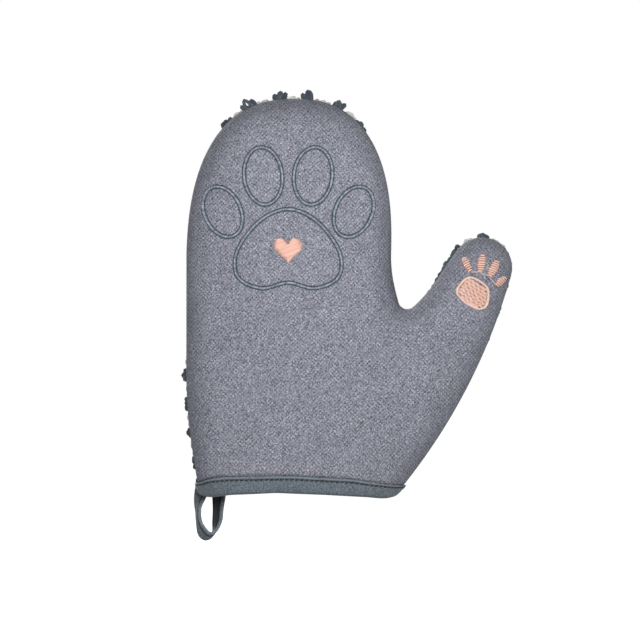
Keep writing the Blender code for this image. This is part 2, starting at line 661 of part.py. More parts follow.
    # Hanging loop of the same tape, round at its ends so that it can swing under the cuff
    round_end = LOOP_TAPE_WIDTH / 2
    swing_height = -(round_end + LOOP_GAP)
    loop_hinge_x = -CUFF_WIDTH / 2 - 1 * MM + LOOP_OUTER_WIDTH / 2
    swing = hinge("loop_hinge", (loop_hinge_x, LOOP_DEPTH, swing_height))

    def loop_plan(half_width, lowest):
        bend = half_width - LOOP_FLAT / 2
        right = arc((LOOP_FLAT / 2, lowest + bend), bend, 0, -90, 7)
        left = [(-x, z) for x, z in reversed(right)]
        points = [(half_width, 0)] + right + left + [(-half_width, 0)]
        return [(loop_hinge_x + x, z) for x, z in points]

    half_out = LOOP_OUTER_WIDTH / 2
    side_low, side_high = LOOP_DEPTH - round_end, LOOP_DEPTH + round_end
    loop = prism("hanging_loop", loop_plan(half_out, -LOOP_LENGTH), side_low, side_high, tape)
    eye = loop_plan(half_out - LOOP_TAPE_THICKNESS, -LOOP_LENGTH + LOOP_TAPE_THICKNESS)
    eye[0], eye[-1] = (eye[0][0], 5 * MM), (eye[-1][0], 5 * MM)
    boolean(loop, as_cutter(prism("loop eye", eye, side_low - 1 * MM, side_high + 1 * MM)), "DIFFERENCE")
    profile = arc((LOOP_DEPTH, swing_height), round_end, 0, 180, 13)
    profile += [(LOOP_DEPTH - round_end, -2 * LOOP_LENGTH), (LOOP_DEPTH + round_end, -2 * LOOP_LENGTH)]
    n = len(profile)
    verts = [(x, y, z) for x in (-FAR, FAR) for y, z in profile]
    faces = [range(n), range(n, 2 * n)] + [(i, (i + 1) % n, n + (i + 1) % n, n + i) for i in range(n)]
    boolean(loop, as_cutter(mesh_object("loop ends", verts, faces)), "INTERSECT")
    carry(loop, swing)

    tack_low = ground_high + outer + STITCH_LIFT
    tacks = {
        "left": loop_hinge_x - half_out + 2 * LOOP_TAPE_THICKNESS,
        "right": loop_hinge_x + half_out - LOOP_TAPE_THICKNESS,
    }
    for side, x in tacks.items():
        low = (x - TACK_WIDTH / 2, tack_low, 0.8 * MM)
        high = (low[0] + TACK_WIDTH, low[1] + TACK_THICKNESS, low[2] + TACK_HEIGHT)
        box(f"loop_tack_{side}", low, high, dark)

    # Stitched figure on the fingers: a paw in outline with a small heart
    scale = (PALM_WIDTH - 2 * MOTIF_MARGIN) / 78
    pad = (PALM_SHIFT, fold_height + MOTIF_RISE)
    figure = [stitched_line("motif_pad_outline", paw_pad(pad, scale, 30), MOTIF_LINE, STITCH_LIFT, blue)]
    toes = (
        (-29.5, 16, 8.2, 12, -26),
        (-11.2, 32, 8.6, 13, -7),
        (11.2, 32, 8.6, 13, 7),
        (29.5, 16, 8.2, 12, 26),
    )
    for number, (x, z, half_width, half_length, lean) in enumerate(toes, 1):
        spot = (pad[0] + scale * x, pad[1] + scale * z)
        ring = oval(spot, scale * half_width, scale * half_length, lean, 20)
        figure.append(stitched_line(f"motif_toe_outline_{number}", ring, MOTIF_LINE, STITCH_LIFT, blue))
    figure.append(stitched_fill("motif_heart", heart((pad[0], pad[1] - 1 * MM), 13 * scale, 22), coral))
    for piece in figure:
        carry(piece, hinges["fingers"])

    # Small filled paw on the thumb
    reach = (THUMB_TIP_RADIUS - PAW_MARGIN) / 13.8
    print_middle = (thumb_centre[0] + PAW_SIDE, thumb_centre[1] - PAW_DROP)
    tilt = math.radians(28)

    def turned(x, z):
        u, v = x * reach, z * reach
        return (
            print_middle[0] + u * math.cos(tilt) + v * math.sin(tilt),
            print_middle[1] - u * math.sin(tilt) + v * math.cos(tilt),
        )

    pad_local = paw_pad((0, 0), 1.0, 18)
    paw = [stitched_fill("thumb_paw_pad", [turned(0.35 * x, 0.42 * z - 8.8) for x, z in pad_local], coral)]
    paw_toes = (
        (-8.6, 3.0, 1.9, 4.1, -48),
        (-2.9, 6.3, 1.9, 4.5, -14),
        (3.6, 7.1, 2.1, 4.5, 3),
        (10.0, 3.3, 1.8, 3.4, 24),
    )
    for number, (x, z, half_width, half_length, lean) in enumerate(paw_toes, 1):
        ring = oval((x, z), half_width, half_length, lean, 14)
        paw.append(stitched_fill(f"thumb_paw_toe_{number}", [turned(*p) for p in ring], coral))
    for piece in paw:
        carry(piece, hinges["thumb"])


build()
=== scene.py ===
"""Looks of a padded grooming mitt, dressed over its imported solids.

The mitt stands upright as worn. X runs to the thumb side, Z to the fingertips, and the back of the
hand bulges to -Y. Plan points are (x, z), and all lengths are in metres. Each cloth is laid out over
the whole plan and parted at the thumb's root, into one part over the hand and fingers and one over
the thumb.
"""

import json
import logging
import math
from dataclasses import dataclass
from enum import Enum

import bpy
import numpy as np
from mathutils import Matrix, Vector, kdtree
from mathutils.geometry import delaunay_2d_cdt


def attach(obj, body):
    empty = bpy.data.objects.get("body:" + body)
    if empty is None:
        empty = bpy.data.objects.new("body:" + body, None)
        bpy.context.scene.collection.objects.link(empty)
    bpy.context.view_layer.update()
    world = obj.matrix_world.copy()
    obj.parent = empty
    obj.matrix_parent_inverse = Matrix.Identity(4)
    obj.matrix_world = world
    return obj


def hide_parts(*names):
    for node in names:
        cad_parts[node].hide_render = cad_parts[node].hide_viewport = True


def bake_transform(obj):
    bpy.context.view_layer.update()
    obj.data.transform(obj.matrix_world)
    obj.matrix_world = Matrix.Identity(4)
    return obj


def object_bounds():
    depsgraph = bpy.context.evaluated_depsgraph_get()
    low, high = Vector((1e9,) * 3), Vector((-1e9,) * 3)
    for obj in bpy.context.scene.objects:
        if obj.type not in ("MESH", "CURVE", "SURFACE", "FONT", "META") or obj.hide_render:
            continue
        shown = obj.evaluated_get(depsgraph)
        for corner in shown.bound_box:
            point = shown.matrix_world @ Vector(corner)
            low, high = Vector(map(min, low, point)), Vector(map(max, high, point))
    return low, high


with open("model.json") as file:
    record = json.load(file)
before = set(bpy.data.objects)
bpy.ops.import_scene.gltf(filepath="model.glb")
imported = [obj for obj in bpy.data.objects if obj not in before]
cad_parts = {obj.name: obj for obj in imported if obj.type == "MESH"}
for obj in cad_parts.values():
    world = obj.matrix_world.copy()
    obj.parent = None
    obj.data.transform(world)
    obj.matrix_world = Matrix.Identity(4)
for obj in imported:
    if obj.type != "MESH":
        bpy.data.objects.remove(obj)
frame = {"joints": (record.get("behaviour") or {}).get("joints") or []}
cad_low, cad_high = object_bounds()

LOG = logging.getLogger("mitt")
MM = 0.001
Colour = tuple[float, float, float]
Spot = tuple[float, float]
Place = tuple[float, float, float]
Array = np.ndarray
Pair = tuple[Array, Array]
Sides = tuple[Array, Array, Array]
Mesh = bpy.types.Mesh
Object = bpy.types.Object
Socket = bpy.types.NodeSocket
UP = np.array((0.0, 0.0, 1.0))


class Carrier(Enum):
    """What a piece moves with."""

    HAND = "hand"
    FINGERS = "fingers"
    THUMB = "thumb"
    LOOP = "loop"


Pieces = dict[Carrier, Object]


class Yarn(Enum):
    """The two colours of the palm's tufts."""

    SLATE = "slate"
    WHITE = "white"


def unit(vectors: Array) -> Array:
    """Vectors scaled to a length of one."""
    return vectors / np.maximum(np.linalg.norm(vectors, axis=-1, keepdims=True), 1e-12)


def ease(value: Array, low: float, high: float) -> Array:
    """Smooth step from 0 at low to 1 at high."""
    t = np.clip((np.asarray(value, float) - low) / (high - low), 0, 1)
    return t * t * (3 - 2 * t)


def bell(value: Array | float, width: float) -> Array:
    """Smooth bump that is 1 at zero and falls away over a width."""
    return np.exp(-((value / width) ** 2))


def soft_weights(places: Array, reach: float) -> Array:
    """Weights of a running mean, which fall away over a reach and add up to one."""
    weight = np.exp(-0.5 * (places / reach) ** 2)
    return weight / weight.sum()


def arc(centre: Spot, radius: float, start: float, end: float, count: int = 64) -> Array:
    """Plan points on a circle, from one angle in degrees to another."""
    angle = np.radians(np.linspace(start, end, count))
    return np.column_stack([centre[0] + radius * np.cos(angle), centre[1] + radius * np.sin(angle)])


def aim(degrees: float, way: int = 1) -> Array:
    """Direction of travel on a circle at an angle, with way -1 for clockwise."""
    angle = math.radians(degrees)
    return np.array((-way * math.sin(angle), way * math.cos(angle)))


def bezier(start: Array, leave: Array, end: Array, reach: Array) -> Array:
    """Smooth plan curve between two points.

    Args:
        start: First point.
        leave: Direction there.
        end: Last point.
        reach: Direction there.

    Returns:
        Points between the two ends.
    """
    pull_share = 0.38
    pull = pull_share * np.linalg.norm(end - start)
    t = np.linspace(0, 1, 50)[1:-1, None]
    first, second = start + pull * leave, end - pull * reach
    return (1 - t) ** 3 * start + 3 * t * (1 - t) ** 2 * first + 3 * t * t * (1 - t) * second + t**3 * end


def run_length(line: Array) -> Array:
    """How far along a line each of its points lies."""
    return np.concatenate([[0], np.cumsum(np.linalg.norm(np.diff(line, axis=0), axis=1))])


def along_line(values: Array, run: Array, at: Array) -> Array:
    """Values given at a line's points, read at other distances along it."""
    return np.column_stack([np.interp(at, run, values[:, k]) for k in range(values.shape[1])])


def evenly(line: Array, step: float, closed: bool = True) -> Array:
    """Points about one step apart along a line.

    Args:
        line: Points that the line joins, in two or three dimensions.
        step: The wanted distance between points.
        closed: Whether the line runs back to its first point.

    Returns:
        The new points. A closed line's first point isn't repeated.
    """
    if closed:
        line = np.vstack([line, line[:1]])
    run = run_length(line)
    even = along_line(line, run, np.linspace(0, run[-1], max(4, round(run[-1] / step) + 1)))
    return even[:-1] if closed else even


def smooth_through(points: Array, closed: bool = True, count: int = 16) -> Array:
    """Smooth line through points.

    Args:
        points: The points, one a row.
        closed: Whether the line runs back to its first point.
        count: Steps between two points.

    Returns:
        Points on the line.
    """
    points = np.asarray(points, float)
    if closed:
        ends = np.vstack([points[-1:], points, points[:2]])
    else:
        ends = np.vstack([2 * points[:1] - points[1:2], points, 2 * points[-1:] - points[-2:-1]])
    t = np.linspace(0, 1, count, endpoint=False)[:, None]
    line = []
    for a, b, c, d in zip(ends[:-3], ends[1:-2], ends[2:-1], ends[3:]):
        square, cube = 2 * a - 5 * b + 4 * c - d, 3 * b - a - 3 * c + d
        line.append(0.5 * (2 * b + (c - a) * t + square * t**2 + cube * t**3))
    return np.vstack(line + ([] if closed else [points[-1:]]))


def in_space(points: Array, y: Array) -> Array:
    """Plan points at their places in Y."""
    return np.column_stack([points[:, 0], y, points[:, 1]])


def ring_ways(ring: Array) -> Pair:
    """Direction along a closed plan line at each of its points, and the direction to its left."""
    ahead = unit(np.roll(ring, -1, axis=0) - np.roll(ring, 1, axis=0))
    return ahead, np.column_stack([-ahead[:, 1], ahead[:, 0]])


def crossings(ring: Array, height: float) -> Array:
    """Where a closed plan line crosses a height.

    Args:
        ring: The line's points.
        height: The height in Z.

    Returns:
        Places in X, from left to right.
    """
    ahead = np.roll(ring, -1, axis=0)
    cross = (ring[:, 1] - height) * (ahead[:, 1] - height) < 0
    a, b = ring[cross], ahead[cross]
    return np.sort(a[:, 0] + (height - a[:, 1]) / (b[:, 1] - a[:, 1]) * (b[:, 0] - a[:, 0]))


def nearest(tree: kdtree.KDTree, points: Array) -> Pair:
    """Index of and distance to the nearest point of a plan tree, for each plan point."""
    found = [tree.find((x, z, 0.0)) for x, z in points]
    return np.array([f[1] for f in found], int), np.array([f[2] for f in found])


def plan_tree(points: Array) -> kdtree.KDTree:
    """Search tree over plan points.

    Args:
        points: The points, one a row.

    Returns:
        The tree.
    """
    tree = kdtree.KDTree(len(points))
    for i, (x, z) in enumerate(points):
        tree.insert((x, z, 0.0), i)
    tree.balance()
    return tree


@dataclass
class MittPlan:
    """Plan of the mitt along its seam, and the lines where it bends."""

    hand_length: float = 195.5 * MM
    cuff_width: float = 97.6 * MM
    palm_width: float = 101.4 * MM
    palm_shift: float = -4.6 * MM
    wrist_taper: float = 60.0 * MM
    tip_squareness: float = 2.45
    tip_lean: float = 2.5 * MM
    crotch_radius: float = 4.5 * MM
    crotch_drop: float = 1.0 * MM
    web_angles: Spot = (195.0, 312.0)
    knuckle_rise: float = 26.5 * MM
    thumb_way: Spot = (36.9 * MM, 20.5 * MM)
    thumb_radius: float = 15.0 * MM
    thumb_angles: Spot = (143.0, -14.0)
    heel_bulge: float = 6.5 * MM
    below_cuff: float = 8.0 * MM
    closing_depth: float = 30.0 * MM
    step: float = 0.8 * MM
    sharpest_turn: float = 0.6
    finger_bend: float = 36.0 * MM
    thumb_bend: float = 28.0 * MM
    loop_bend: float = 9.0 * MM

    def __post_init__(self) -> None:
        """Takes the bending lines from the frame and traces the seam."""
        joints = {j["name"]: j for j in frame["joints"]}
        self.fold = np.array(joints["thumb_flex"]["pos_m"])[[0, 2]]
        self.fold_along = -np.array(joints["thumb_flex"]["axis"])[[0, 2]]
        self.fold_across = np.array((-self.fold_along[1], self.fold_along[0]))
        self.loop_hinge = np.array(joints["loop_swing"]["pos_m"])
        self.crotch = self.fold - (0, self.crotch_drop)
        self.thumb_centre = self.crotch + self.thumb_way
        self.seam = evenly(self.trace(), self.step)
        self.tree = plan_tree(self.seam)

    def trace(self) -> Array:
        """The seam as a closed line.

        Returns:
            Plan points from below the cuff up the little-finger side, over the tip and thumb, and down again.
        """
        half = self.palm_width / 2
        knuckle = self.crotch[1] + self.knuckle_rise
        z = np.linspace(-self.below_cuff, self.wrist_taper, 80)
        flare = self.palm_shift - half + self.cuff_width / 2
        left = np.column_stack([-self.cuff_width / 2 + flare * np.sin(math.pi / 2 * z / self.wrist_taper), z])
        turn = np.radians(np.linspace(180, 0, 400))
        power = 2 / self.tip_squareness
        across = np.sign(np.cos(turn)) * np.abs(np.cos(turn)) ** power * half
        up = np.abs(np.sin(turn)) ** power
        tip = np.column_stack(
            [self.palm_shift + across + up * self.tip_lean, knuckle + up * (self.hand_length - knuckle)]
        )
        web = arc(self.crotch + (0, self.crotch_radius), self.crotch_radius, *self.web_angles)
        thumb = arc(self.thumb_centre, self.thumb_radius, *self.thumb_angles, 160)
        into_web = bezier(tip[-1], np.array((0, -1)), web[0], aim(self.web_angles[0]))
        out_of_web = bezier(web[-1], aim(self.web_angles[1]), thumb[0], aim(self.thumb_angles[0], -1))
        start, end = thumb[-1], np.array((self.cuff_width / 2, 0.0))
        side = end - start
        out = unit(np.array((-side[1], side[0])))
        control = (start + end) / 2 + out * 2 * self.heel_bulge
        t = np.linspace(0.02, 1, 100)[:, None]
        heel = (1 - t) ** 2 * start + 2 * t * (1 - t) * control + t * t * end
        low = end + (end - control) / abs(end[1] - control[1]) * self.below_cuff
        middle, reach = (low[0] + left[0, 0]) / 2, (low[0] - left[0, 0]) / 2
        under = np.linspace(0, math.pi, 120)[:-1]
        close = np.column_stack(
            [middle + reach * np.cos(under), -self.below_cuff - self.closing_depth * np.sin(under)]
        )
        return np.vstack([left, tip[1:], into_web, web, out_of_web, thumb, heel, close])

    def inset(self, amount: float) -> Array:
        """The seam moved inwards.

        Args:
            amount: How far.

        Returns:
            Plan points in the seam's order.
        """
        ahead = unit(np.roll(self.seam, -1, axis=0) - self.seam)
        behind = np.roll(ahead, 1, axis=0)
        inward = np.column_stack([ahead[:, 1] + behind[:, 1], -ahead[:, 0] - behind[:, 0]])
        share = 1 + np.sum(ahead * behind, axis=1)
        return self.seam + amount * inward / np.maximum(share, self.sharpest_turn)[:, None]

    def depth(self, points: Array) -> Array:
        """How far plan points lie inside the seam.

        Args:
            points: The points.

        Returns:
            One depth for each, below zero outside.
        """
        index, _ = nearest(self.tree, points)
        count = len(self.seam)
        best = np.full(len(points), np.inf)
        inside = np.zeros(len(points), bool)
        for back in (1, 0):
            a, b = self.seam[(index - back) % count], self.seam[(index - back + 1) % count]
            run, gap = b - a, points - a
            t = np.clip(np.sum(gap * run, axis=1) / np.sum(run * run, axis=1), 0, 1)
            away = np.linalg.norm(gap - t[:, None] * run, axis=1)
            closer = away < best
            best = np.where(closer, away, best)
            turn = run[:, 0] * gap[:, 1] - run[:, 1] * gap[:, 0]
            inside = np.where(closer, turn < 0, inside)
        return np.where(inside, best, -best)

    def sides(self, height: float) -> tuple[float, float]:
        """Where the seam's two sides stand at a height near the cuff."""
        x = crossings(self.seam, height)
        return float(x[0]), float(x[-1])

    def past_fold(self, points: Array) -> Array:
        """How far plan points lie past the thumb's bending line."""
        return (points - self.fold) @ self.fold_across

    def on_thumb(self, points: Array) -> Array:
        """Which plan points belong to the thumb."""
        return (self.past_fold(points) > 0) & (points[:, 0] > self.fold[0])

    def carry(self, obj: Object, carrier: Carrier) -> None:
        """Hangs a piece that moves with the hand on the hand's body, and bakes any other piece's place into
        its mesh.

        Args:
            obj: The piece.
            carrier: What it moves with.
        """
        if carrier is Carrier.HAND:
            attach(obj, "hand")
            return
        if carrier is Carrier.FINGERS:
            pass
        elif carrier is Carrier.THUMB:
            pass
        else:
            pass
        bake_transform(obj)


class PlanGrid:
    """Values on an even grid over the plan."""

    def __init__(self, plan: MittPlan, step: float = 1.0 * MM, margin: float = 8.0 * MM) -> None:
        """Lays the grid over the seam.

        Args:
            plan: The mitt's plan.
            step: Distance between two points.
            margin: How far it reaches past the seam.
        """
        self.step = step
        self.low = plan.seam.min(axis=0) - margin
        self.shape = tuple(np.ceil((plan.seam.max(axis=0) + margin - self.low) / step).astype(int))
        place = np.stack(np.meshgrid(*(np.arange(n) for n in self.shape), indexing="ij"), axis=-1)
        self.points = self.low + place.reshape(-1, 2) * step

    def blur(self, values: Array, reach: float) -> Array:
        """Softens values on the grid.

        Args:
            values: One for each point of the grid.
            reach: How far they are spread.

        Returns:
            The softened values.
        """
        cells = reach / self.step
        span = math.ceil(3 * cells)
        weight = soft_weights(np.arange(-span, span + 1), cells)
        soft = values.reshape(self.shape)
        for axis in (0, 1):
            soft = np.apply_along_axis(np.convolve, axis, soft, weight, "same")
        return soft

    def read(self, values: Array, points: Array) -> Array:
        """Values between the grid's points.

        Args:
            values: Values on the grid.
            points: Plan points.

        Returns:
            One value for each point.
        """
        place = (points - self.low) / self.step
        cell = np.clip(np.floor(place).astype(int), 0, np.array(self.shape) - 2)
        u, v = np.clip(place - cell, 0, 1).T
        i, j = cell.T
        near = values[i, j] * (1 - v) + values[i, j + 1] * v
        far = values[i + 1, j] * (1 - v) + values[i + 1, j + 1] * v
        return near * (1 - u) + far * u


@dataclass
class BackForm:
    """Shape of the padded back: rolled sides, a soft crown and a groove under each stitched line."""

    plan: MittPlan
    grid: PlanGrid
    grooves: Array
    side_rise: float = 16.0 * MM
    side_radius: float = 15.0 * MM
    crown_rise: float = 6.8 * MM
    crown_reach: float = 50.0 * MM
    crown_soften: float = 5.0 * MM
    groove_depth: float = 0.6 * MM
    groove_width: float = 1.3 * MM
    edge_snap: float = 0.05 * MM
    crown_start: float = 8.0 * MM
    slope_step: float = 0.4 * MM
    wander: float = 0.35 * MM
    waves: int = 9
    wave_lengths: Spot = (22 * MM, 60 * MM)
    seed: int = 11

    def __post_init__(self) -> None:
        """Works out the soft crown and gathers the grooves."""
        reach = np.clip(self.plan.depth(self.grid.points), 0, self.crown_reach) / self.crown_reach
        self.crown = self.grid.blur(self.crown_rise * (1 - (1 - reach) ** 2), self.crown_soften)
        self.crown += self.unevenness()
        self.groove_tree = plan_tree(self.grooves)

    def unevenness(self) -> Array:
        """Slow waves of the wadding under the cloth.

        Returns:
            One height for each point of the grid.
        """
        rng = np.random.default_rng(self.seed)
        total = np.zeros(len(self.grid.points))
        for length in rng.uniform(*self.wave_lengths, self.waves):
            turn, phase = rng.uniform(0, 2 * math.pi, 2)
            along = self.grid.points @ (math.cos(turn), math.sin(turn))
            total += np.sin(2 * math.pi * along / length + phase) * self.wander / math.sqrt(self.waves)
        return total.reshape(self.grid.shape)

    def from_groove(self, points: Array) -> Array:
        """Distance from plan points to the nearest stitched line."""
        return nearest(self.groove_tree, points)[1]

    def rise(self, points: Array, inset: float = 0.0) -> Array:
        """Height over the seam's plane.

        Args:
            points: Plan points.
            inset: How far the surface lies inside the outer one.

        Returns:
            One height for each point.
        """
        depth = self.plan.depth(points)
        depth = np.where(depth - inset < self.edge_snap, inset, depth)
        share = np.clip((depth - inset) / (self.side_radius - inset), 0, 1)
        side = (self.side_rise - inset) * np.sqrt(1 - (1 - share) ** 2)
        groove = self.groove_depth * bell(self.from_groove(points), self.groove_width)
        crown = self.grid.read(self.crown, points) * ease(depth, inset, inset + self.crown_start)
        return side + crown - groove

    def place(self, points: Array, lift: Array | float) -> Array:
        """Points over the back's cloth.

        Args:
            points: Plan points.
            lift: How far each stands off the cloth.

        Returns:
            The points in space, one a row.
        """
        step = self.slope_step
        sides = [points + np.array(d) * step for d in ((1, 0), (-1, 0), (0, 1), (0, -1))]
        east, west, north, south = (self.rise(p) for p in sides)
        slope_x, slope_z = (east - west) / (2 * step), (north - south) / (2 * step)
        normal = unit(np.column_stack([-slope_x, -np.ones(len(points)), -slope_z]))
        base = in_space(points, -self.rise(points))
        return base + normal * np.broadcast_to(lift, len(points))[:, None]


@dataclass
class PalmForm:
    """Shape of the palm, which swells between the seam, the cuff and the bending lines."""

    plan: MittPlan
    grid: PlanGrid
    swell: float = 4.0 * MM
    reach: float = 30.0 * MM
    cuff_clear: float = 22.0 * MM
    soften: float = 3.0 * MM
    edge_reach: float = 6.0 * MM

    def __post_init__(self) -> None:
        """Works out the swell on the grid."""
        p = self.grid.points
        height = p[:, 1] - self.plan.fold[1]
        from_fold = np.abs(np.where(p[:, 0] < self.plan.fold[0], height, self.plan.past_fold(p)))
        room = np.minimum.reduce([self.plan.depth(p), p[:, 1] - self.cuff_clear, from_fold])
        swell = self.swell * (1 - (1 - np.clip(room / self.reach, 0, 1)) ** 2)
        self.values = self.grid.blur(swell, self.soften)

    def rise(self, points: Array) -> Array:
        """How far the palm stands out of the seam's plane."""
        return self.grid.read(self.values, points) * ease(self.plan.depth(points), 0, self.edge_reach)


class Graph:
    """Short way to add and join the nodes of a material or a world."""

    def __init__(self, made: bpy.types.Material | bpy.types.World) -> None:
        """Turns the nodes on.

        Args:
            made: The material or world.
        """
        self.made = made
        self.made.use_nodes = True
        self.tree = self.made.node_tree

    def add(self, kind: str, inputs: dict | None = None, **settings: object) -> bpy.types.Node:
        """Adds a node.

        Args:
            kind: The node's type without its ShaderNode prefix.
            inputs: A socket to join or a value to set, by input name or number.
            **settings: The node's own properties.

        Returns:
            The new node.
        """
        node = self.tree.nodes.new("ShaderNode" + kind)
        for key, value in settings.items():
            setattr(node, key, value)
        for key, value in (inputs or {}).items():
            self.feed(node.inputs[key], value)
        return node

    def feed(self, socket: Socket, value: object) -> None:
        """Feeds an input.

        Args:
            socket: The input.
            value: An output to join to it, or a value to set.
        """
        if isinstance(value, Socket):
            self.tree.links.new(value, socket)
        else:
            socket.default_value = value

    def math(self, operation: str, *values: object) -> Socket:
        """Result of a Math node."""
        return self.add("Math", dict(enumerate(values)), operation=operation).outputs[0]

    def seen_directly(self) -> Socket:
        """Tells two kinds of ray apart.

        Returns:
            One for rays that show the background, and zero for rays that light the mitt.
        """
        path = self.add("LightPath").outputs
        glossy = self.math("MAXIMUM", path["Is Camera Ray"], path["Is Glossy Ray"])
        return self.math("MAXIMUM", glossy, path["Is Transmission Ray"])


class ClothGraph(Graph):
    """Nodes of a cloth or a thread around a Principled shader."""

    def __init__(self, name: str) -> None:
        """Starts a material with its shader and its coordinates.

        Args:
            name: The material's name.
        """
        super().__init__(bpy.data.materials.new(name))
        self.shader = self.tree.nodes["Principled BSDF"]
        self.coords = self.add("TexCoord").outputs["Object"]

    def noise(self, scale: float, detail: float) -> Socket:
        """Even noise over the piece."""
        return self.add("TexNoise", {"Vector": self.coords, "Scale": scale, "Detail": detail}).outputs["Fac"]

    def bands(self, direction: str, wave: dict) -> Socket:
        """Ribs across a direction, over the piece unless the wave has a vector of its own."""
        return self.add("TexWave", {"Vector": self.coords} | wave, bands_direction=direction).outputs["Fac"]

    def attribute(self, name: str) -> Socket:
        """Value that the mesh holds under a name."""
        return self.add("Attribute", attribute_name=name).outputs["Fac"]

    def colour(self, value: Socket) -> None:
        """Feeds the shader's colour."""
        self.feed(self.shader.inputs["Base Color"], value)

    def toned(self, share: Socket, first: Socket, second: Colour) -> None:
        """Feeds the shader a colour that runs from one to another as a share grows."""
        sockets = {0: share, 6: first, 7: (*second, 1)}
        self.colour(self.add("Mix", sockets, data_type="RGBA").outputs[2])

    def turned(self, degrees: float, stretch: Place) -> Socket:
        """Object coordinates turned about Y and then stretched."""
        inputs = {"Vector": self.coords, "Rotation": (0, math.radians(degrees), 0), "Scale": stretch}
        return self.add("Mapping", inputs, vector_type="TEXTURE").outputs[0]

    def ramp(self, factor: Socket, stops: list[tuple[float, Colour]]) -> Socket:
        """Colour that runs through stops as a factor grows.

        Args:
            factor: The factor, from 0 to 1.
            stops: Place and colour of each stop.

        Returns:
            The colour.
        """
        node = self.add("ValToRGB", {"Fac": factor})
        elements = node.color_ramp.elements
        while len(elements) < len(stops):
            elements.new(0.5)
        for element, (place, colour) in zip(elements, stops):
            element.position = place
            element.color = (*colour, 1)
        return node.outputs["Color"]

    def bump(self, height: Socket, strength: float, distance: float) -> None:
        """Feeds a height to the shader's normal."""
        node = self.add("Bump", {"Height": height, "Strength": strength, "Distance": distance})
        self.feed(self.shader.inputs["Normal"], node.outputs[0])


def shade(colour: Colour, factor: float) -> Colour:
    """A colour made lighter or darker."""
    return tuple(min(1.0, c * factor) for c in colour)


@dataclass(frozen=True)
class Finish:
    """Finish of one kind of cloth or thread, with its slot in the record."""

    name: str
    slot: str
    colour: Colour
    roughness: float = 0.9
    sheen: float = 0.0
    specular: float = 0.3
    ribs: float = 3.1 / (6.28 * 0.9 * MM)

    def material(self) -> bpy.types.Material:
        """The finish's material, made on first use.

        Returns:
            The material.
        """
        if self.name in bpy.data.materials:
            return bpy.data.materials[self.name]
        graph = ClothGraph(self.name)
        inputs = graph.shader.inputs
        inputs["Roughness"].default_value = self.roughness
        inputs["Sheen Weight"].default_value = self.sheen
        inputs["Specular IOR Level"].default_value = self.specular
        self.weave(graph)
        return graph.made

    def weave(self, graph: ClothGraph) -> None:
        """Plain weave: two sets of fine ribs and a slight change of tone.

        Args:
            graph: The material's nodes.
        """
        wave = {"Scale": self.ribs, "Distortion": 1.2, "Detail": 1.0}
        height = graph.math("MAXIMUM", *(graph.bands(direction, wave) for direction in ("X", "Z")))
        tone = graph.noise(300.0, 3.0)
        mixed = graph.math("MULTIPLY_ADD", height, 0.35, graph.math("MULTIPLY", tone, 0.65))
        stops = [(0.2, shade(self.colour, 0.7)), (0.55, self.colour), (0.85, shade(self.colour, 1.25))]
        graph.colour(graph.ramp(mixed, stops))
        graph.bump(height, 0.3, 0.15 * MM)


@dataclass(frozen=True)
class HeatherFinish(Finish):
    """Heathered cloth: flecks of pale and dark fibre on a mid tone, with painted shade where it is pulled in
    beside stitched lines and along the tape.
    """

    dark: Colour = (0.06, 0.062, 0.082)
    pale: Colour = (0.66, 0.67, 0.74)
    knit: float = 2.0 * MM

    def weave(self, graph: ClothGraph) -> None:
        """Fine flecks with a slight slant, over the chequer of the knit.

        Args:
            graph: The material's nodes.
        """
        slant = graph.turned(42, (1.0, 1.0, 1.3))
        cell = graph.add("TexVoronoi", {"Vector": slant, "Scale": 2500.0}, feature="F1")
        parts = graph.add("SeparateColor", {"Color": cell.outputs["Color"]})
        fibres = {"Vector": slant, "Scale": 2300.0, "Detail": 1.0, "Roughness": 0.6}
        fine = graph.add("TexNoise", fibres).outputs["Fac"]
        slow = graph.noise(60.0, 2.0)
        fleck = graph.math("MULTIPLY_ADD", parts.outputs["Red"], 0.6, graph.math("MULTIPLY", fine, 0.45))
        fleck = graph.math("ADD", fleck, graph.math("MULTIPLY_ADD", slow, 0.12, -0.06))
        wave = {"Scale": 2 * math.pi / (20 * self.knit), "Distortion": 0.0}
        wales = [graph.math("MULTIPLY_ADD", graph.bands(way, wave), 2.0, -1.0) for way in ("X", "Z")]
        fleck = graph.math("MULTIPLY_ADD", graph.math("MULTIPLY", *wales), 0.12, fleck)
        tones = [(0.12, self.dark), (0.5, self.colour), (0.72, shade(self.colour, 1.3)), (0.95, self.pale)]
        # painted shade: the groove share darkens the flecks towards a deep shade of the dark fibre
        graph.toned(graph.attribute("groove"), graph.ramp(fleck, tones), shade(self.dark, 0.35))
        graph.bump(graph.math("ADD", fine, cell.outputs["Distance"]), 0.35, 0.2 * MM)


@dataclass(frozen=True)
class TapeFinish(Finish):
    """Woven tape with a fine slanting rib, a painted highlight along its marked edges and painted shade on
    the loop's inner face and fold.
    """

    # strength of the painted highlight on marked edges
    edge: float = 0.34

    def weave(self, graph: ClothGraph) -> None:
        """Slanting ribs, paler where a painted highlight is marked and darker where painted shade is marked.

        Args:
            graph: The material's nodes.
        """
        slant = graph.turned(38, (1.0, 1.0, 1.0))
        rib = graph.bands("X", {"Vector": slant, "Scale": 520.0, "Distortion": 1.5, "Detail": 1.0})
        tone = graph.noise(1500.0, 1.0)
        mixed = graph.math("MULTIPLY_ADD", rib, 0.22, graph.math("MULTIPLY_ADD", tone, 1.5, -0.36))
        # painted highlight on the cuff tape's upper lip and along the loop's edges
        mixed = graph.math("MULTIPLY_ADD", graph.attribute("worn"), self.edge, mixed)
        stops = [(0.15, shade(self.colour, 0.5)), (0.5, self.colour), (0.85, shade(self.colour, 1.7))]
        # painted shade on the loop's inner face and along its fold, from the inside share
        graph.toned(graph.attribute("inside"), graph.ramp(mixed, stops), shade(self.colour, 0.1))
        graph.bump(graph.math("ADD", rib, tone), 0.3, 0.12 * MM)


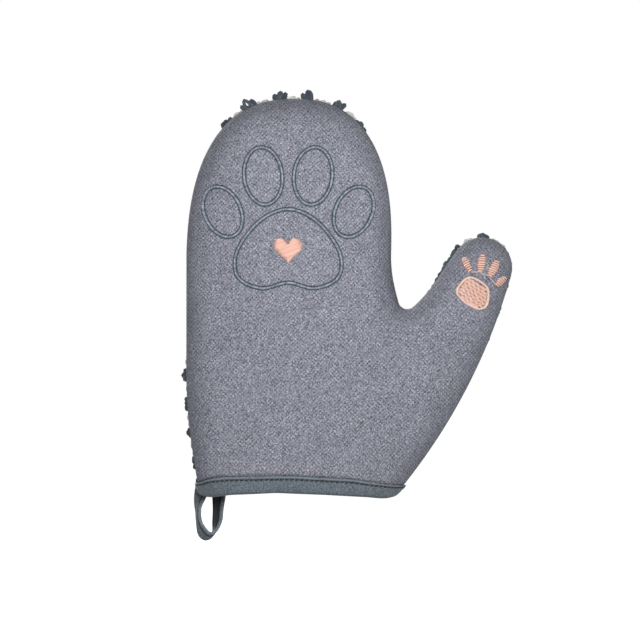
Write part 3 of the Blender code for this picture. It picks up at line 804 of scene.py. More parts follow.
@dataclass(frozen=True)
class ThreadFinish(Finish):
    """Embroidery or sewing thread, with a tone of its own for each stitch."""

    spread: float = 0.25
    glint: float = 0.12

    def weave(self, graph: ClothGraph) -> None:
        """Each stitch a little lighter or darker, up to a painted glint, with fine fibres along it.

        Args:
            graph: The material's nodes.
        """
        island = graph.add("NewGeometry").outputs["Random Per Island"]
        fibre = graph.noise(2600.0, 2.0)
        tone = graph.math("MULTIPLY_ADD", island, 0.6, graph.math("MULTIPLY", fibre, 0.4))
        # the pale end is a painted glint, standing in for the thread's sheen
        pale = tuple(c + (1 - c) * self.glint for c in self.colour)
        stops = [(0.1, shade(self.colour, 1 - self.spread)), (0.9, pale)]
        graph.colour(graph.ramp(tone, stops))
        graph.bump(fibre, 0.2, 0.06 * MM)


@dataclass(frozen=True)
class WaddingFinish(Finish):
    """Loose fibre wadding."""

    def weave(self, graph: ClothGraph) -> None:
        """Cloudy fibres.

        Args:
            graph: The material's nodes.
        """
        cloud = graph.noise(240.0, 6.0)
        graph.colour(graph.ramp(cloud, [(0.25, shade(self.colour, 0.75)), (0.75, self.colour)]))
        graph.bump(cloud, 0.6, 0.6 * MM)


HEATHER = HeatherFinish("heather cloth", "heather_cloth", (0.262, 0.27, 0.322), sheen=0.03, specular=0.15)
WADDING = WaddingFinish("fibre wadding", "wadding", (0.75, 0.74, 0.7))
LINING = Finish("lining cloth", "lining_cloth", (0.4, 0.41, 0.44))
GROUND = Finish("pile ground cloth", "pile_cloth", (0.6, 0.6, 0.6))
SLATE_YARN = ThreadFinish(
    "slate yarn", "pile_cloth", (0.062, 0.086, 0.116), sheen=0.1, specular=0.1, spread=0.2, glint=0.08
)
WHITE_YARN = ThreadFinish(
    "white yarn", "pile_cloth", (0.88, 0.87, 0.85), sheen=0.2, specular=0.1, spread=0.08, glint=0.3
)
TAPE = TapeFinish("binding tape", "binding_tape", (0.136, 0.164, 0.189), roughness=0.8, sheen=0.15)
OVERLOCK = ThreadFinish("overlock thread", "overlock", (0.5, 0.5, 0.52))
BLUE = ThreadFinish(
    "blue thread", "blue_thread", (0.27, 0.37, 0.49), roughness=0.45, specular=0.5, spread=0.6, glint=0.3
)
CORAL = ThreadFinish(
    "coral thread", "coral_thread", (1.0, 0.56, 0.44), roughness=0.45, specular=0.5, spread=0.2
)
PAW_CORAL = ThreadFinish(
    "paw coral thread", "coral_thread", (1.0, 0.6, 0.46), roughness=0.4, specular=0.6, spread=0.05, glint=0.3
)
PALE_CORAL = ThreadFinish(
    "pale coral thread", "coral_thread", (1.0, 0.72, 0.6), roughness=0.45, specular=0.5, spread=0.1
)
# dark thread under the paw: partly real underlay, partly painted shadow in the gaps between the coral
# stitches
SHADOW_UNDERLAY = ThreadFinish("underlay thread", "coral_thread", (0.48, 0.2, 0.15), roughness=0.6)
DARK = ThreadFinish("dark thread", "dark_thread", (0.03, 0.036, 0.045), roughness=0.6, glint=0.02)


def tube_faces(rows: int, columns: int, closed: bool = False) -> Array:
    """Quads between rows of points that are rings.

    Args:
        rows: How many rows.
        columns: Points in each row.
        closed: Whether the last row runs on to the first.

    Returns:
        Four point numbers for each quad.
    """
    i, j = np.meshgrid(np.arange(rows if closed else rows - 1), np.arange(columns), indexing="ij")
    here, ahead, k = i * columns, (i + 1) % rows * columns, (j + 1) % columns
    return np.stack([here + j, here + k, ahead + k, ahead + j], axis=-1).reshape(-1, 4)


@dataclass
class Strands:
    """Many threads gathered into one mesh.

    A thread's section has a number of sides, and a height of flat times its width. Its two plies
    swell it by a share of its radius, ply, and turn once in the length lay.
    """

    sides: int = 6
    ply: float = 0.0
    lay: float = 3.0 * MM
    flat: float = 1.0

    def __post_init__(self) -> None:
        """Starts with no threads."""
        self.angle = np.linspace(0, 2 * math.pi, self.sides, endpoint=False)
        self.verts: list[Array] = []
        self.faces: list[list[int]] = []
        self.count = 0

    def add(self, line: Array, across: Array, radius: Array | float) -> None:
        """Adds one thread.

        Args:
            line: Points along its middle.
            across: A direction that is nowhere along the line.
            radius: One radius, or one for each point.
        """
        n, sides = len(line), self.sides
        along = unit(np.gradient(line, axis=0))
        out = unit(np.cross(along, across))
        side = np.cross(out, along)
        turn = 2 * math.pi * run_length(line)[:, None] / self.lay
        swell = 1 + self.ply * np.cos(2 * (self.angle[None] + turn))
        reach = (np.broadcast_to(radius, n)[:, None] * swell)[..., None]
        wide, high = np.cos(self.angle)[None, :, None], np.sin(self.angle)[None, :, None] * self.flat
        ring = wide * side[:, None] + high * out[:, None]
        self.verts.append((line[:, None] + reach * ring).reshape(-1, 3))
        self.faces += (tube_faces(n, sides) + self.count).tolist()
        last = self.count + (n - 1) * sides
        self.faces.append(list(range(self.count + sides - 1, self.count - 1, -1)))
        self.faces.append(list(range(last, last + sides)))
        self.count += n * sides

    def mesh(self, name: str) -> Mesh:
        """The threads as one smooth mesh."""
        return make_mesh(name, np.vstack(self.verts), self.faces)


def make_mesh(name: str, verts: Array, faces: list[list[int]]) -> Mesh:
    """Makes a mesh, shaded smooth.

    Args:
        name: Its name.
        verts: Its points.
        faces: Point numbers of each face.

    Returns:
        The mesh.
    """
    mesh = bpy.data.meshes.new(name)
    mesh.from_pydata(np.asarray(verts).tolist(), [], faces)
    mesh.shade_smooth()
    return mesh


def new_object(name: str, data: bpy.types.ID) -> Object:
    """Puts an object into the scene.

    Args:
        name: Its name.
        data: Its mesh, light or camera.

    Returns:
        The object.
    """
    obj = bpy.data.objects.new(name, data)
    bpy.context.scene.collection.objects.link(obj)
    return obj


def mark(mesh: Mesh, name: str, values: Array) -> None:
    """Gives each point of a mesh a value that its finish reads by name."""
    attribute = mesh.attributes.new(name, "FLOAT", "POINT")
    attribute.data.foreach_set("value", np.asarray(values, np.float32).reshape(-1))


def dress(
    plan: MittPlan, name: str, mesh: Mesh, finish: Finish, carrier: Carrier, *nodes: str
) -> Object:
    """Makes a piece of a mesh.

    Args:
        plan: The mitt's plan, which knows the joints.
        name: The piece's name.
        mesh: Its mesh, in place.
        finish: Its finish.
        carrier: What it moves with.
        *nodes: Solids that it stands for.

    Returns:
        The new object.
    """
    mesh.materials.append(finish.material())
    obj = new_object(name, mesh)
    plan.carry(obj, carrier)
    if nodes:
        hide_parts(*nodes)
    LOG.info("%s: %d faces, moves with %s", name, len(mesh.polygons), carrier.value)
    return obj


def part_name(name: str, carrier: Carrier) -> str:
    """Name of a cloth's part: the thumb's, or the main one over hand and fingers."""
    return f"{name}_thumb" if carrier is Carrier.THUMB else f"{name}_main"


@dataclass
class CuffEdge:
    """The cuff's folded edge: bowed up in the middle, narrower and rounded at both sides."""

    left: float = -50.4 * MM
    right: float = 51.0 * MM
    fold: float = 1.8 * MM
    soften: float = 1.2 * MM
    step: float = 0.25 * MM
    past: float = 6.0 * MM
    low_points: tuple[Spot, ...] = (
        (-51.0, 2.6), (-49.8, 0.2), (-48.0, -0.8), (-36.3, 1.0), (-11.7, 2.2),
        (12.9, 1.25), (37.6, -0.2), (46.0, -1.3), (49.0, -0.3), (51.0, 3.0),
    )
    high_points: tuple[Spot, ...] = (
        (-51.0, 5.2), (-49.3, 5.7), (-43.7, 8.4), (-36.3, 9.6), (-4.3, 10.3), (25.2, 8.5), (51.0, 4.3),
    )

    def __post_init__(self) -> None:
        """Softens the measured edges into smooth lines."""
        span = 16
        self.x = np.arange(self.left - self.past, self.right + self.past, self.step)
        weight = soft_weights(np.arange(-span, span + 1) * self.step, self.soften)
        lines = []
        for points in (self.low_points, self.high_points):
            x, z = np.array(points).T * MM
            line = np.pad(np.interp(self.x, x, z), span, mode="edge")
            lines.append(np.convolve(line, weight, "valid"))
        self.low, self.high = lines

    def height(self, x: Array, share: float) -> Array:
        """Height on the tape, from 0 at the fold's underside to 1 at its upper edge."""
        low, high = (np.interp(x, self.x, line) for line in (self.low, self.high))
        return low + share * (high - low)

    def cloth(self, x: Array) -> Array:
        """Where the layers end inside the fold."""
        return self.height(x, 0.0) + self.fold


@dataclass
class ClothCut:
    """A cloth laid out flat over the plan: its points and triangles, parted at the thumb's root.

    Its edge lies inset inside the seam, and rows follow the edge at the depths in rings. In the
    middle its points lie one pitch apart, with more of them at extra, where it needs detail.
    """

    plan: MittPlan
    cuff: CuffEdge
    inset: float
    pitch: float
    rings: tuple[float, ...]
    extra: Array | None = None
    rim_share: float = 0.7
    row_share: float = 0.8
    row_slack: Spot = (0.08, 0.02 * MM)
    row_rise: float = 0.866
    ring_room: float = 0.6
    extra_room: float = 0.5
    extra_depth: float = 0.5 * MM
    cuff_room: float = 0.45
    parting_room: float = 0.4
    cuff_run: Spot = (-4 * MM, 30 * MM)
    parting_run: Spot = (-1.0 * MM, 90 * MM)
    same_point: float = 1e-7

    def __post_init__(self) -> None:
        """Cuts the cloth."""
        plan, cuff, pitch = self.plan, self.cuff, self.pitch
        rim = evenly(plan.inset(self.inset), max(plan.step, pitch * self.rim_share))[::-1]
        inner = self.inner_points(rim.min(axis=0), rim.max(axis=0))
        x = np.arange(rim[:, 0].min() + self.cuff_run[0], plan.fold[0] + self.cuff_run[1], pitch)
        edge = np.column_stack([x, cuff.cloth(x)])
        parting = plan.fold + np.arange(*self.parting_run, pitch)[:, None] * plan.fold_along
        points = np.vstack([rim, inner, edge, parting])
        n, m = len(rim) + len(inner), len(edge)
        lines = [(n + i, n + i + 1) for i in range(m - 1)]
        lines += [(n + m + i, n + m + i + 1) for i in range(len(parting) - 1)]
        outline = [list(range(len(rim)))]
        made = delaunay_2d_cdt([Vector(p) for p in points], lines, outline, 1, self.same_point)
        self.flat = np.array([tuple(v) for v in made[0]])
        faces = np.array([f for f in made[2] if len(f) == 3])
        middle = self.flat[faces].mean(axis=1)
        faces, middle = (a[middle[:, 1] > cuff.cloth(middle[:, 0])] for a in (faces, middle))
        thumb = plan.on_thumb(middle)
        self.parts = {Carrier.FINGERS: faces[~thumb], Carrier.THUMB: faces[thumb]}
        self.faces = faces

    def inner_points(self, low: Array, high: Array) -> Array:
        """Points inside the edge, clear of the cuff and of the parting.

        Args:
            low: The edge's lowest x and z.
            high: Its highest x and z.

        Returns:
            The points in plan, one a row.
        """
        plan, pitch, inset = self.plan, self.pitch, self.inset
        rings = [r * MM for r in self.rings]
        loose = []
        for depth in rings:
            row = evenly(plan.inset(inset + depth), max(plan.step, pitch * self.row_share))
            slack = self.row_slack[0] * depth + self.row_slack[1]
            loose.append(row[np.abs(plan.depth(row) - inset - depth) < slack])
        for i, z in enumerate(np.arange(low[1], high[1], pitch * self.row_rise)):
            x = np.arange(low[0] + (i % 2) * pitch / 2, high[0], pitch)
            row = np.column_stack([x, np.full_like(x, z)])
            loose.append(row[plan.depth(row) > inset + rings[-1] + self.ring_room * pitch])
        if self.extra is not None:
            extra = self.extra[plan.depth(self.extra) > inset + self.extra_depth]
            rows = np.vstack(loose)
            loose = [rows[nearest(plan_tree(extra), rows)[1] > self.extra_room * pitch], extra]
        inner = np.vstack(loose)
        inner = inner[inner[:, 1] > self.cuff.cloth(inner[:, 0]) + self.cuff_room * pitch]
        apart = np.abs(plan.past_fold(inner)) > self.parting_room * pitch
        return inner[apart | (inner[:, 0] < plan.fold[0] - pitch)]


def surface_normals(verts: Array, faces: Array) -> Array:
    """Smooth normals of a triangle surface.

    Args:
        verts: The surface's points.
        faces: Its triangles.

    Returns:
        One normal for each point.
    """
    a, b, c = (verts[faces[:, k]] for k in range(3))
    normal = np.cross(b - a, c - a)
    total = np.zeros_like(verts)
    for k in range(3):
        np.add.at(total, faces[:, k], normal)
    return unit(total)


def cloth_mesh(name: str, sides: Sides, faces: Array) -> tuple[Mesh, Array]:
    """Closed mesh of a cloth with a thickness.

    Args:
        name: The mesh's name.
        sides: Points of the whole cloth's outer and inner side, and the outer side's normals.
        faces: Triangles of the part to make.

    Returns:
        The mesh, and the index of each of its outer points in the whole cloth.
    """
    used, small = np.unique(faces, return_inverse=True)
    small, n = small.reshape(-1, 3), len(used)
    outer, inner, normals = (side[used] for side in sides)
    once: dict[tuple[int, int], bool] = {}
    for t in small.tolist():
        for a, b in zip(t, t[1:] + t[:1]):
            if once.pop((b, a), None) is None:
                once[(a, b)] = True
    walls = [[b, a, n + a, n + b] for a, b in once]
    closed = small.tolist() + (small[:, ::-1] + n).tolist() + walls
    mesh = make_mesh(name, np.vstack([outer, inner]), closed)
    mesh.normals_split_custom_set_from_vertices(np.vstack([normals, -normals]).tolist())
    return mesh, used


def layer_pieces(
    cut: ClothCut, name: str, sides: Sides, finish: Finish, groove: Array | None = None, flip: bool = False
) -> Pieces:
    """Makes one layer in its two parts, which stand for its three solids.

    Args:
        cut: The layer laid out flat.
        name: The layer's name, as in its solids.
        sides: Points of its outer and its inner side, and the outer side's normals.
        finish: Its finish.
        groove: Share of painted shade at each point, beside stitched lines and along the tape, for a finish
            that reads it.
        flip: Whether its triangles are turned over.

    Returns:
        The two pieces.
    """
    sections = {Carrier.FINGERS: ("hand", "fingers"), Carrier.THUMB: ("thumb",)}
    pieces = {}
    for carrier, faces in cut.parts.items():
        label = part_name(name, carrier)
        mesh, used = cloth_mesh(label, sides, faces[:, ::-1] if flip else faces)
        if groove is not None:
            # painted shade beside the stitched lines and along the tape, which the heather reads
            mark(mesh, "groove", np.concatenate([groove[used], groove[used]]))
        solids = [f"{name}_{section}" for section in sections[carrier]]
        pieces[carrier] = dress(cut.plan, f"{label}_cloth", mesh, finish, carrier, *solids)
    return pieces


@dataclass
class PaddingSwell:
    """Lets the back swell as a cloth over its padding, before any line is stitched into it."""

    plan: MittPlan
    form: BackForm
    cuff: CuffEdge
    pitch: float = 4.0 * MM
    rings: tuple[float, ...] = (1.5, 4.5, 8.5, 13.0)
    frames: int = 20
    cap: float = 2.2 * MM
    soften: float = 2.5 * MM
    settings: tuple[tuple[str, object], ...] = (
        ("quality", 6), ("mass", 0.25), ("tension_stiffness", 14.0), ("compression_stiffness", 14.0),
        ("shear_stiffness", 6.0), ("bending_stiffness", 1.0), ("use_pressure", True),
        ("uniform_pressure_force", 4.0), ("vertex_group_mass", "held"),
    )
    seam_hold: float = 0.4 * MM
    cuff_hold: float = 1.0 * MM
    neighbours: int = 4
    blend: float = 0.3 * MM

    def cloth(self, cut: ClothCut, start: Array) -> Object:
        """The cloth to be simulated, held at the seam and at the cuff.

        Args:
            cut: The cloth laid out flat.
            start: Its points in space.

        Returns:
            The cloth.
        """
        obj = new_object("swelling", make_mesh("swelling", start, cut.faces.tolist()))
        at_cuff = cut.flat[:, 1] < self.cuff.cloth(cut.flat[:, 0]) + self.cuff_hold
        held = (self.plan.depth(cut.flat) < self.seam_hold) | at_cuff
        obj.vertex_groups.new(name="held").add(np.flatnonzero(held).tolist(), 1.0, "REPLACE")
        modifier = obj.modifiers.new("cloth", "CLOTH")
        for name, value in self.settings:
            setattr(modifier.settings, name, value)
        modifier.settings.effector_weights.gravity = 0.0
        modifier.collision_settings.use_collision = False
        modifier.point_cache.frame_end = self.frames
        return obj

    def run(self) -> None:
        """Simulates the cloth and gives its movement, capped, to the back's shape."""
        cut = ClothCut(self.plan, self.cuff, 0.0, self.pitch, self.rings)
        start = in_space(cut.flat, -self.form.rise(cut.flat))
        obj = self.cloth(cut, start)
        scene = bpy.context.scene
        for number in range(1, self.frames + 1):
            scene.frame_set(number)
        settled = obj.evaluated_get(bpy.context.evaluated_depsgraph_get()).to_mesh()
        end = np.empty(len(start) * 3, np.float32)
        settled.vertices.foreach_get("co", end)
        moved = -(end.reshape(-1, 3) - start)[:, 1]
        LOG.info("padding swells by %.2f to %.2f mm", moved.min() / MM, moved.max() / MM)
        moved = moved * min(1.0, self.cap / float(np.abs(moved).max()))
        bpy.data.objects.remove(obj)
        scene.frame_set(1)
        grid, tree = self.form.grid, plan_tree(cut.flat)
        values = np.empty(len(grid.points))
        for i, (x, z) in enumerate(grid.points):
            near = tree.find_n((x, z, 0.0), self.neighbours)
            weight = np.array([1 / (f[2] + self.blend) ** 2 for f in near])
            values[i] = weight @ moved[[f[1] for f in near]] / weight.sum()
        self.form.crown += grid.blur(values, self.soften)


@dataclass
class BackPanel:
    """The padded back: heathered cloth, wadding and lining under one crown."""

    plan: MittPlan
    form: BackForm
    cuff: CuffEdge
    detail: Array
    shell: float = 1.2 * MM
    wadding: float = 3.0 * MM
    lining: float = 0.6 * MM
    gap: float = 0.5 * MM
    pitch: float = 1.25 * MM
    hidden_pitch: float = 3.0 * MM
    rings: tuple[float, ...] = (0.12, 0.4, 0.9, 1.6, 2.5, 3.6, 5.0, 6.6, 8.4, 10.4, 12.5, 14.6)
    few_rings: tuple[float, ...] = (0.3, 1.2, 3.0, 5.5, 9.0)
    # where the painted shade beside the lines and above the tape lies, and how strong it is
    groove_aside: float = 0.8 * MM
    groove_soft: float = 0.25 * MM
    tape_shade: float = 0.8
    tape_soft: float = 0.9 * MM

    def drawn_in(self, flat: Array) -> Array:
        """Share of painted shade on the cloth beside each stitched line and just above the tape.

        Args:
            flat: Plan points.

        Returns:
            One share for each point.
        """
        beside = bell(self.form.from_groove(flat) - self.groove_aside, self.groove_soft)
        over_tape = flat[:, 1] - self.cuff.height(flat[:, 0], 1.0)
        return np.maximum(beside, self.tape_shade * bell(over_tape, self.tape_soft))

    def layer(self, name: str, inset: float, thickness: float, finish: Finish) -> Pieces:
        """Makes one layer, the outermost with finer points and with painted shade beside its grooves.

        Args:
            name: The layer's name, as in its solids.
            inset: How far inside the outer surface it lies.
            thickness: Its thickness.
            finish: Its finish.

        Returns:
            The two pieces.
        """
        fine = inset == 0.0
        grain = (self.pitch, self.rings, self.detail) if fine else (self.hidden_pitch, self.few_rings)
        cut = ClothCut(self.plan, self.cuff, inset, *grain)
        outer = in_space(cut.flat, -self.form.rise(cut.flat, inset))
        normals = surface_normals(outer, cut.faces)
        sides = outer, outer - normals * thickness, normals
        return layer_pieces(cut, name, sides, finish, self.drawn_in(cut.flat) if fine else None)

    def build(self) -> None:
        """Makes the three layers."""
        cover = self.layer("back_shell", 0.0, self.shell, HEATHER)
        inset = self.shell + self.gap
        fill = self.layer("back_wadding", inset, self.wadding, WADDING)
        for piece in [*cover.values(), *fill.values()]:
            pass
        inset += self.wadding + self.gap
        inside = self.layer("back_lining", inset, self.lining, LINING)


@dataclass
class PalmPanel:
    """The palm: ground cloth with yarn tufts outside, wadding and lining inside."""

    plan: MittPlan
    form: PalmForm
    cuff: CuffEdge
    ground_low: float = 0.3 * MM
    ground_inset: float = 0.3 * MM
    ground: float = 0.8 * MM
    wadding: float = 3.0 * MM
    lining: float = 0.6 * MM
    gap: float = 0.5 * MM
    inner_inset: float = 7.6 * MM
    pitch: float = 2.4 * MM
    rings: tuple[float, ...] = (0.8, 2.4, 4.6)
    column_pitch: float = 7.4 * MM
    row_pitch: float = 6.5 * MM
    tuft_gap: float = 0.8 * MM
    fold_clear: float = 1.05 * MM
    lattice_depth: float = 6.6 * MM
    fill_depth: float = 4.2 * MM
    fill_apart: float = 5.0 * MM
    fill_step: float = 1.3 * MM
    fill_rise: float = 2.0 * MM
    first_row: float = 11.5 * MM
    rim_pitch: float = 7.1 * MM
    rim_inset: float = 1.7 * MM
    rim_reach: float = 5.6 * MM
    wrist_reach: float = 2.4 * MM
    wrist_height: float = 64.0 * MM
    rim_shy: float = 1.2 * MM
    rim_thumb: float = 0.65
    rim_white: float = 0.4
    splay_clear: float = 19.0 * MM
    rim_side: float = 0.6
    rim_slate: float = 0.5
    finger_fan: Spot = (0.42, 0.85)
    thumb_fan: Spot = (0.2, 0.7)
    wrist_fan: Spot = (0.5, 1.0)
    wrist_fade: float = 12.0 * MM
    side_fan: Spot = (0.75, 0.97)
    side_top: Spot = (-0.2, 0.0)
    aim_step: float = 0.5 * MM
    pile: float = 6.0 * MM
    yarn: float = 0.68 * MM
    rim_yarn: float = 0.92 * MM
    yarn_sides: int = 7
    ply: float = 0.13
    lay: float = 3.0 * MM
    root: float = 0.5 * MM
    rim_root: float = 0.4 * MM
    loops: int = 7
    seed: int = 5

    def layer(self, name: str, inset: float, low: float, thickness: float, finish: Finish) -> Pieces:
        """Makes one flat layer in its two parts.

        Args:
            name: The layer's name, as in its solids.
            inset: How far inside the seam its edge lies.
            low: Its inner side's place in Y at the seam.
            thickness: Its thickness.
            finish: Its finish.

        Returns:
            The two pieces.
        """
        cut = ClothCut(self.plan, self.cuff, inset, self.pitch, self.rings)
        inner = in_space(cut.flat, low + self.form.rise(cut.flat))
        outer = inner + (0, thickness, 0)
        sides = outer, inner, surface_normals(outer, cut.faces[:, ::-1])
        return layer_pieces(cut, name, sides, finish, flip=True)

    def rim_tufts(self) -> list[tuple[int, Array, Array, float]]:
        """Tufts of the row along the seam.

        Returns:
            Number, foot, way out and reach past the seam of each.
        """
        path = self.plan.inset(self.rim_inset)
        path = path[path[:, 1] > self.first_row]
        path = np.roll(path, -int(np.argmax(np.linalg.norm(np.diff(path, axis=0), axis=1))) - 1, axis=0)
        run = run_length(path)
        top = run[int(path[:, 1].argmax())]
        numbers = np.arange(math.ceil(-top / self.rim_pitch), int((run[-1] - top) / self.rim_pitch) + 1)
        at = top + numbers * self.rim_pitch
        spots, ahead = (along_line(path, run, at + on) for on in (0.0, self.aim_step))
        way = unit(ahead - spots)
        out = np.column_stack([-way[:, 1], way[:, 0]])
        found = []
        for number, spot, away, on_thumb in zip(numbers, spots, out, self.plan.on_thumb(spots)):
            from_crotch = float(np.linalg.norm(spot - self.plan.crotch))
            if from_crotch < self.splay_clear / 2:
                continue
            free = np.clip(from_crotch / self.splay_clear - 0.5, 0.1, 1) * (self.rim_thumb if on_thumb else 1)
            free *= float(ease(away[1], *(self.thumb_fan if on_thumb else self.finger_fan)))
            if on_thumb:
                low = self.rim_side * float(ease(away[0], *self.side_fan) * ease(-away[1], *self.side_top))
            else:
                below = ease(-spot[1], -self.wrist_height - self.wrist_fade, -self.wrist_height)
                low = float(ease(-away[0], *self.wrist_fan) * below)
            reach = self.rim_reach * free + self.wrist_reach * low - self.rim_shy * (1 - max(free, low))
            all_slate = on_thumb and away[0] < -self.rim_slate
            found.append((int(number) | int(all_slate), spot, away, reach))
        return found

    def field_tufts(self) -> list[tuple[Array, int]]:
        """Tufts of the lattice.

        Returns:
            Foot and colour number of each.
        """
        half = np.array((self.column_pitch - self.tuft_gap, self.row_pitch - self.tuft_gap)) / 2
        rows = np.arange(32) * self.row_pitch + half[1] + self.fold_clear
        found = []
        for side in (-1, 1):
            for j, row in enumerate(rows):
                for i in range(-16, 17):
                    x = self.plan.palm_shift + i * self.column_pitch
                    spot = np.array((x, self.plan.fold[1] + side * row))
                    corners = spot + half * np.array(((-1, -1), (1, -1), (1, 1), (-1, 1)))
                    over = self.plan.past_fold(corners)
                    left = corners[:, 0].max() < self.plan.fold[0]
                    clear = left or over.min() > self.fold_clear or over.max() < -self.fold_clear
                    above = corners[:, 1].min() > self.first_row
                    if above and clear and self.plan.depth(corners).min() > self.lattice_depth:
                        found.append((spot, i + j + (side > 0)))
        return found

    def filling_tufts(self, planted: list[Array], numbers: list[int]) -> list[tuple[Array, int]]:
        """More tufts, where the lattice leaves the cloth bare.

        Args:
            planted: Feet of the tufts so far.
            numbers: Their colour numbers.

        Returns:
            Foot and colour number of each.
        """
        low, high = self.plan.seam.min(axis=0), self.plan.seam.max(axis=0)
        places = np.meshgrid(*(np.arange(a, b, self.fill_step) for a, b in zip(low, high)))
        grid = np.stack(places, axis=-1).reshape(-1, 2)
        above = grid[:, 1] > self.first_row + self.fill_rise
        grid = grid[(self.plan.depth(grid) > self.fill_depth) & above]
        spots, colours, found = list(planted), list(numbers), []
        for spot in grid:
            away = np.linalg.norm(np.array(spots) - spot, axis=1)
            if away.min() > self.fill_apart:
                colours.append(colours[int(away.argmin())] + 1)
                spots.append(spot)
                found.append((spot, colours[-1]))
        return found

    def base(self, spot: Array) -> float:
        """Where the ground cloth's outer side lies in Y under a plan point."""
        return self.ground_low + self.ground + float(self.form.rise(spot[None])[0])

    def loop(self, strands: Strands, foot: Place, rise: Place, bend: Place, span: Place, yarn: float) -> None:
        """Adds one loop of yarn.

        Args:
            strands: The threads to add it to.
            foot: The middle of its two feet.
            rise: The way from there to its crest.
            bend: How far the crest is drawn aside.
            span: Half the way from one foot to the other.
            yarn: The yarn's radius.
        """
        foot, rise, bend, span = (np.array(v, float) for v in (foot, rise, bend, span))
        turn = np.linspace(0, math.pi, 9)
        share = np.sin(turn)[:, None] ** 0.8
        swing = (np.cos(turn) * (1 + 0.35 * np.sin(turn)))[:, None]
        strands.add(foot + share * rise + share**2 * bend + swing * span, np.cross(span, rise), yarn)

    def plant_rim(
        self, strands: Strands, rng: np.random.Generator, spot: Array, away: Array, reach: float
    ) -> None:
        """Plants one tuft of the seam's row, whose loops bow to both sides.

        Args:
            strands: The threads to add it to.
            rng: Source of the small differences.
            spot: Its foot in plan.
            away: The way out of the seam in plan.
            reach: How far it reaches past the seam.
        """
        base = self.base(spot)
        beside = np.array((away[1], -away[0]))
        away = unit(away + beside * rng.uniform(-0.3, 0.3))
        reach *= rng.uniform(0.85, 1.1)
        for place in (-0.8, 0.0, 0.8):
            foot = spot - away * rng.uniform(0.6, 1.6) * MM + beside * place * 1.7 * MM
            tip = beside * place * 0.8 * MM - away * rng.uniform(0.2, 1.4) * MM
            way = beside * rng.uniform(-1, 1) + away * rng.uniform(-1, 1)
            rise = (tip[0], self.pile * rng.uniform(0.72, 0.92), tip[1])
            span = np.array((way[0], 0, way[1])) * 0.9 * MM
            yarn = self.yarn * rng.uniform(0.85, 1.0)
            self.loop(strands, (foot[0], base - self.root, foot[1]), rise, (0, 0, 0), span, yarn)
        for place in (-1.0, 0.05, 0.9):
            place += rng.uniform(-0.25, 0.25)
            bow = reach * (1 - 0.3 * place**2) * rng.uniform(0.7, 1.1)
            out = away * (self.rim_inset + bow - self.rim_yarn)
            aside = beside * (place * rng.uniform(0.6, 1.8) + rng.uniform(-0.8, 0.8)) * MM
            up = (self.pile - 0.55 * max(reach, 0.0)) * rng.uniform(0.6, 0.9)
            foot = spot + beside * place * 1.3 * MM
            way = beside * rng.uniform(0.8, 1.25) * MM
            bend = (aside[0], -0.15 * up, aside[1])
            span = (way[0], rng.uniform(-0.5, 0.5) * MM, way[1])
            yarn = self.rim_yarn * rng.uniform(0.85, 1.1)
            rise = (out[0], up, out[1])
            self.loop(strands, (foot[0], base - self.rim_root, foot[1]), rise, bend, span, yarn)

    def plant_field(self, strands: Strands, rng: np.random.Generator, spot: Array) -> None:
        """Plants one tuft of the palm: a ring of loops that open outwards.

        Args:
            strands: The threads to add it to.
            rng: Source of the small differences.
            spot: Its foot in plan.
        """
        base = self.base(spot)
        first = rng.uniform(0, 2 * math.pi)
        for k in range(self.loops):
            angle = first + 2 * math.pi * k / self.loops + rng.uniform(-0.4, 0.4)
            away = np.array((math.cos(angle), math.sin(angle))) * (0.2 if k == 0 else 1.0)
            foot = spot + away * rng.uniform(0.7, 1.5) * MM
            tilt = angle + math.pi / 2 + rng.uniform(-0.9, 0.9)
            tip = away * rng.uniform(0.2, 1.8) * MM
            height = self.pile * rng.uniform(0.78, 1.0) - self.yarn
            rise = (tip[0], height + self.root, tip[1])
            span = np.array((math.cos(tilt), 0, math.sin(tilt))) * rng.uniform(0.8, 1.3) * MM
            yarn = self.yarn * rng.uniform(0.85, 1.05)
            self.loop(strands, (foot[0], base - self.root, foot[1]), rise, (0, 0, 0), span, yarn)

    def tuft_kind(self, spot: Array, number: int) -> tuple[Yarn, Carrier]:
        """Colour and part of a tuft, by its place and its colour number."""
        carrier = Carrier.THUMB if self.plan.on_thumb(spot[None])[0] else Carrier.FINGERS
        return Yarn.WHITE if number % 2 else Yarn.SLATE, carrier

    def tufts(self) -> None:
        """Plants all tufts: loops of thick yarn, in two colours and two parts."""
        rng = np.random.default_rng(self.seed)
        kinds = [(yarn, carrier) for yarn in Yarn for carrier in (Carrier.FINGERS, Carrier.THUMB)]
        threads = {kind: Strands(self.yarn_sides, self.ply, self.lay) for kind in kinds}
        rim, field = self.rim_tufts(), self.field_tufts()
        planted = [r[1] for r in rim] + [f[0] for f in field]
        numbers = [r[0] + 1 for r in rim] + [f[1] for f in field]
        for number, spot, away, reach in rim:
            share = 1.0 if number % 2 or reach < 0 else self.rim_white
            self.plant_rim(threads[self.tuft_kind(spot, number + 1)], rng, spot, away, reach * share)
        for spot, number in field + self.filling_tufts(planted, numbers):
            self.plant_field(threads[self.tuft_kind(spot, number)], rng, spot)
        finishes = {Yarn.SLATE: SLATE_YARN, Yarn.WHITE: WHITE_YARN}
        for (yarn, carrier), strands in threads.items():
            label = part_name(f"{yarn.value}_tufts", carrier)
            dress(self.plan, label, strands.mesh(label), finishes[yarn], carrier)

    def build(self) -> None:
        """Makes the palm's layers and its tufts."""
        ground = self.layer("palm_pile", self.ground_inset, self.ground_low, self.ground, GROUND)
        low = -self.ground_low - self.wadding
        fill = self.layer("palm_wadding", self.inner_inset, low, self.wadding, WADDING)
        low -= self.gap + self.lining
        inside = self.layer("palm_lining", self.inner_inset, low, self.lining, LINING)
        for piece in fill.values():
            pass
        self.tufts()


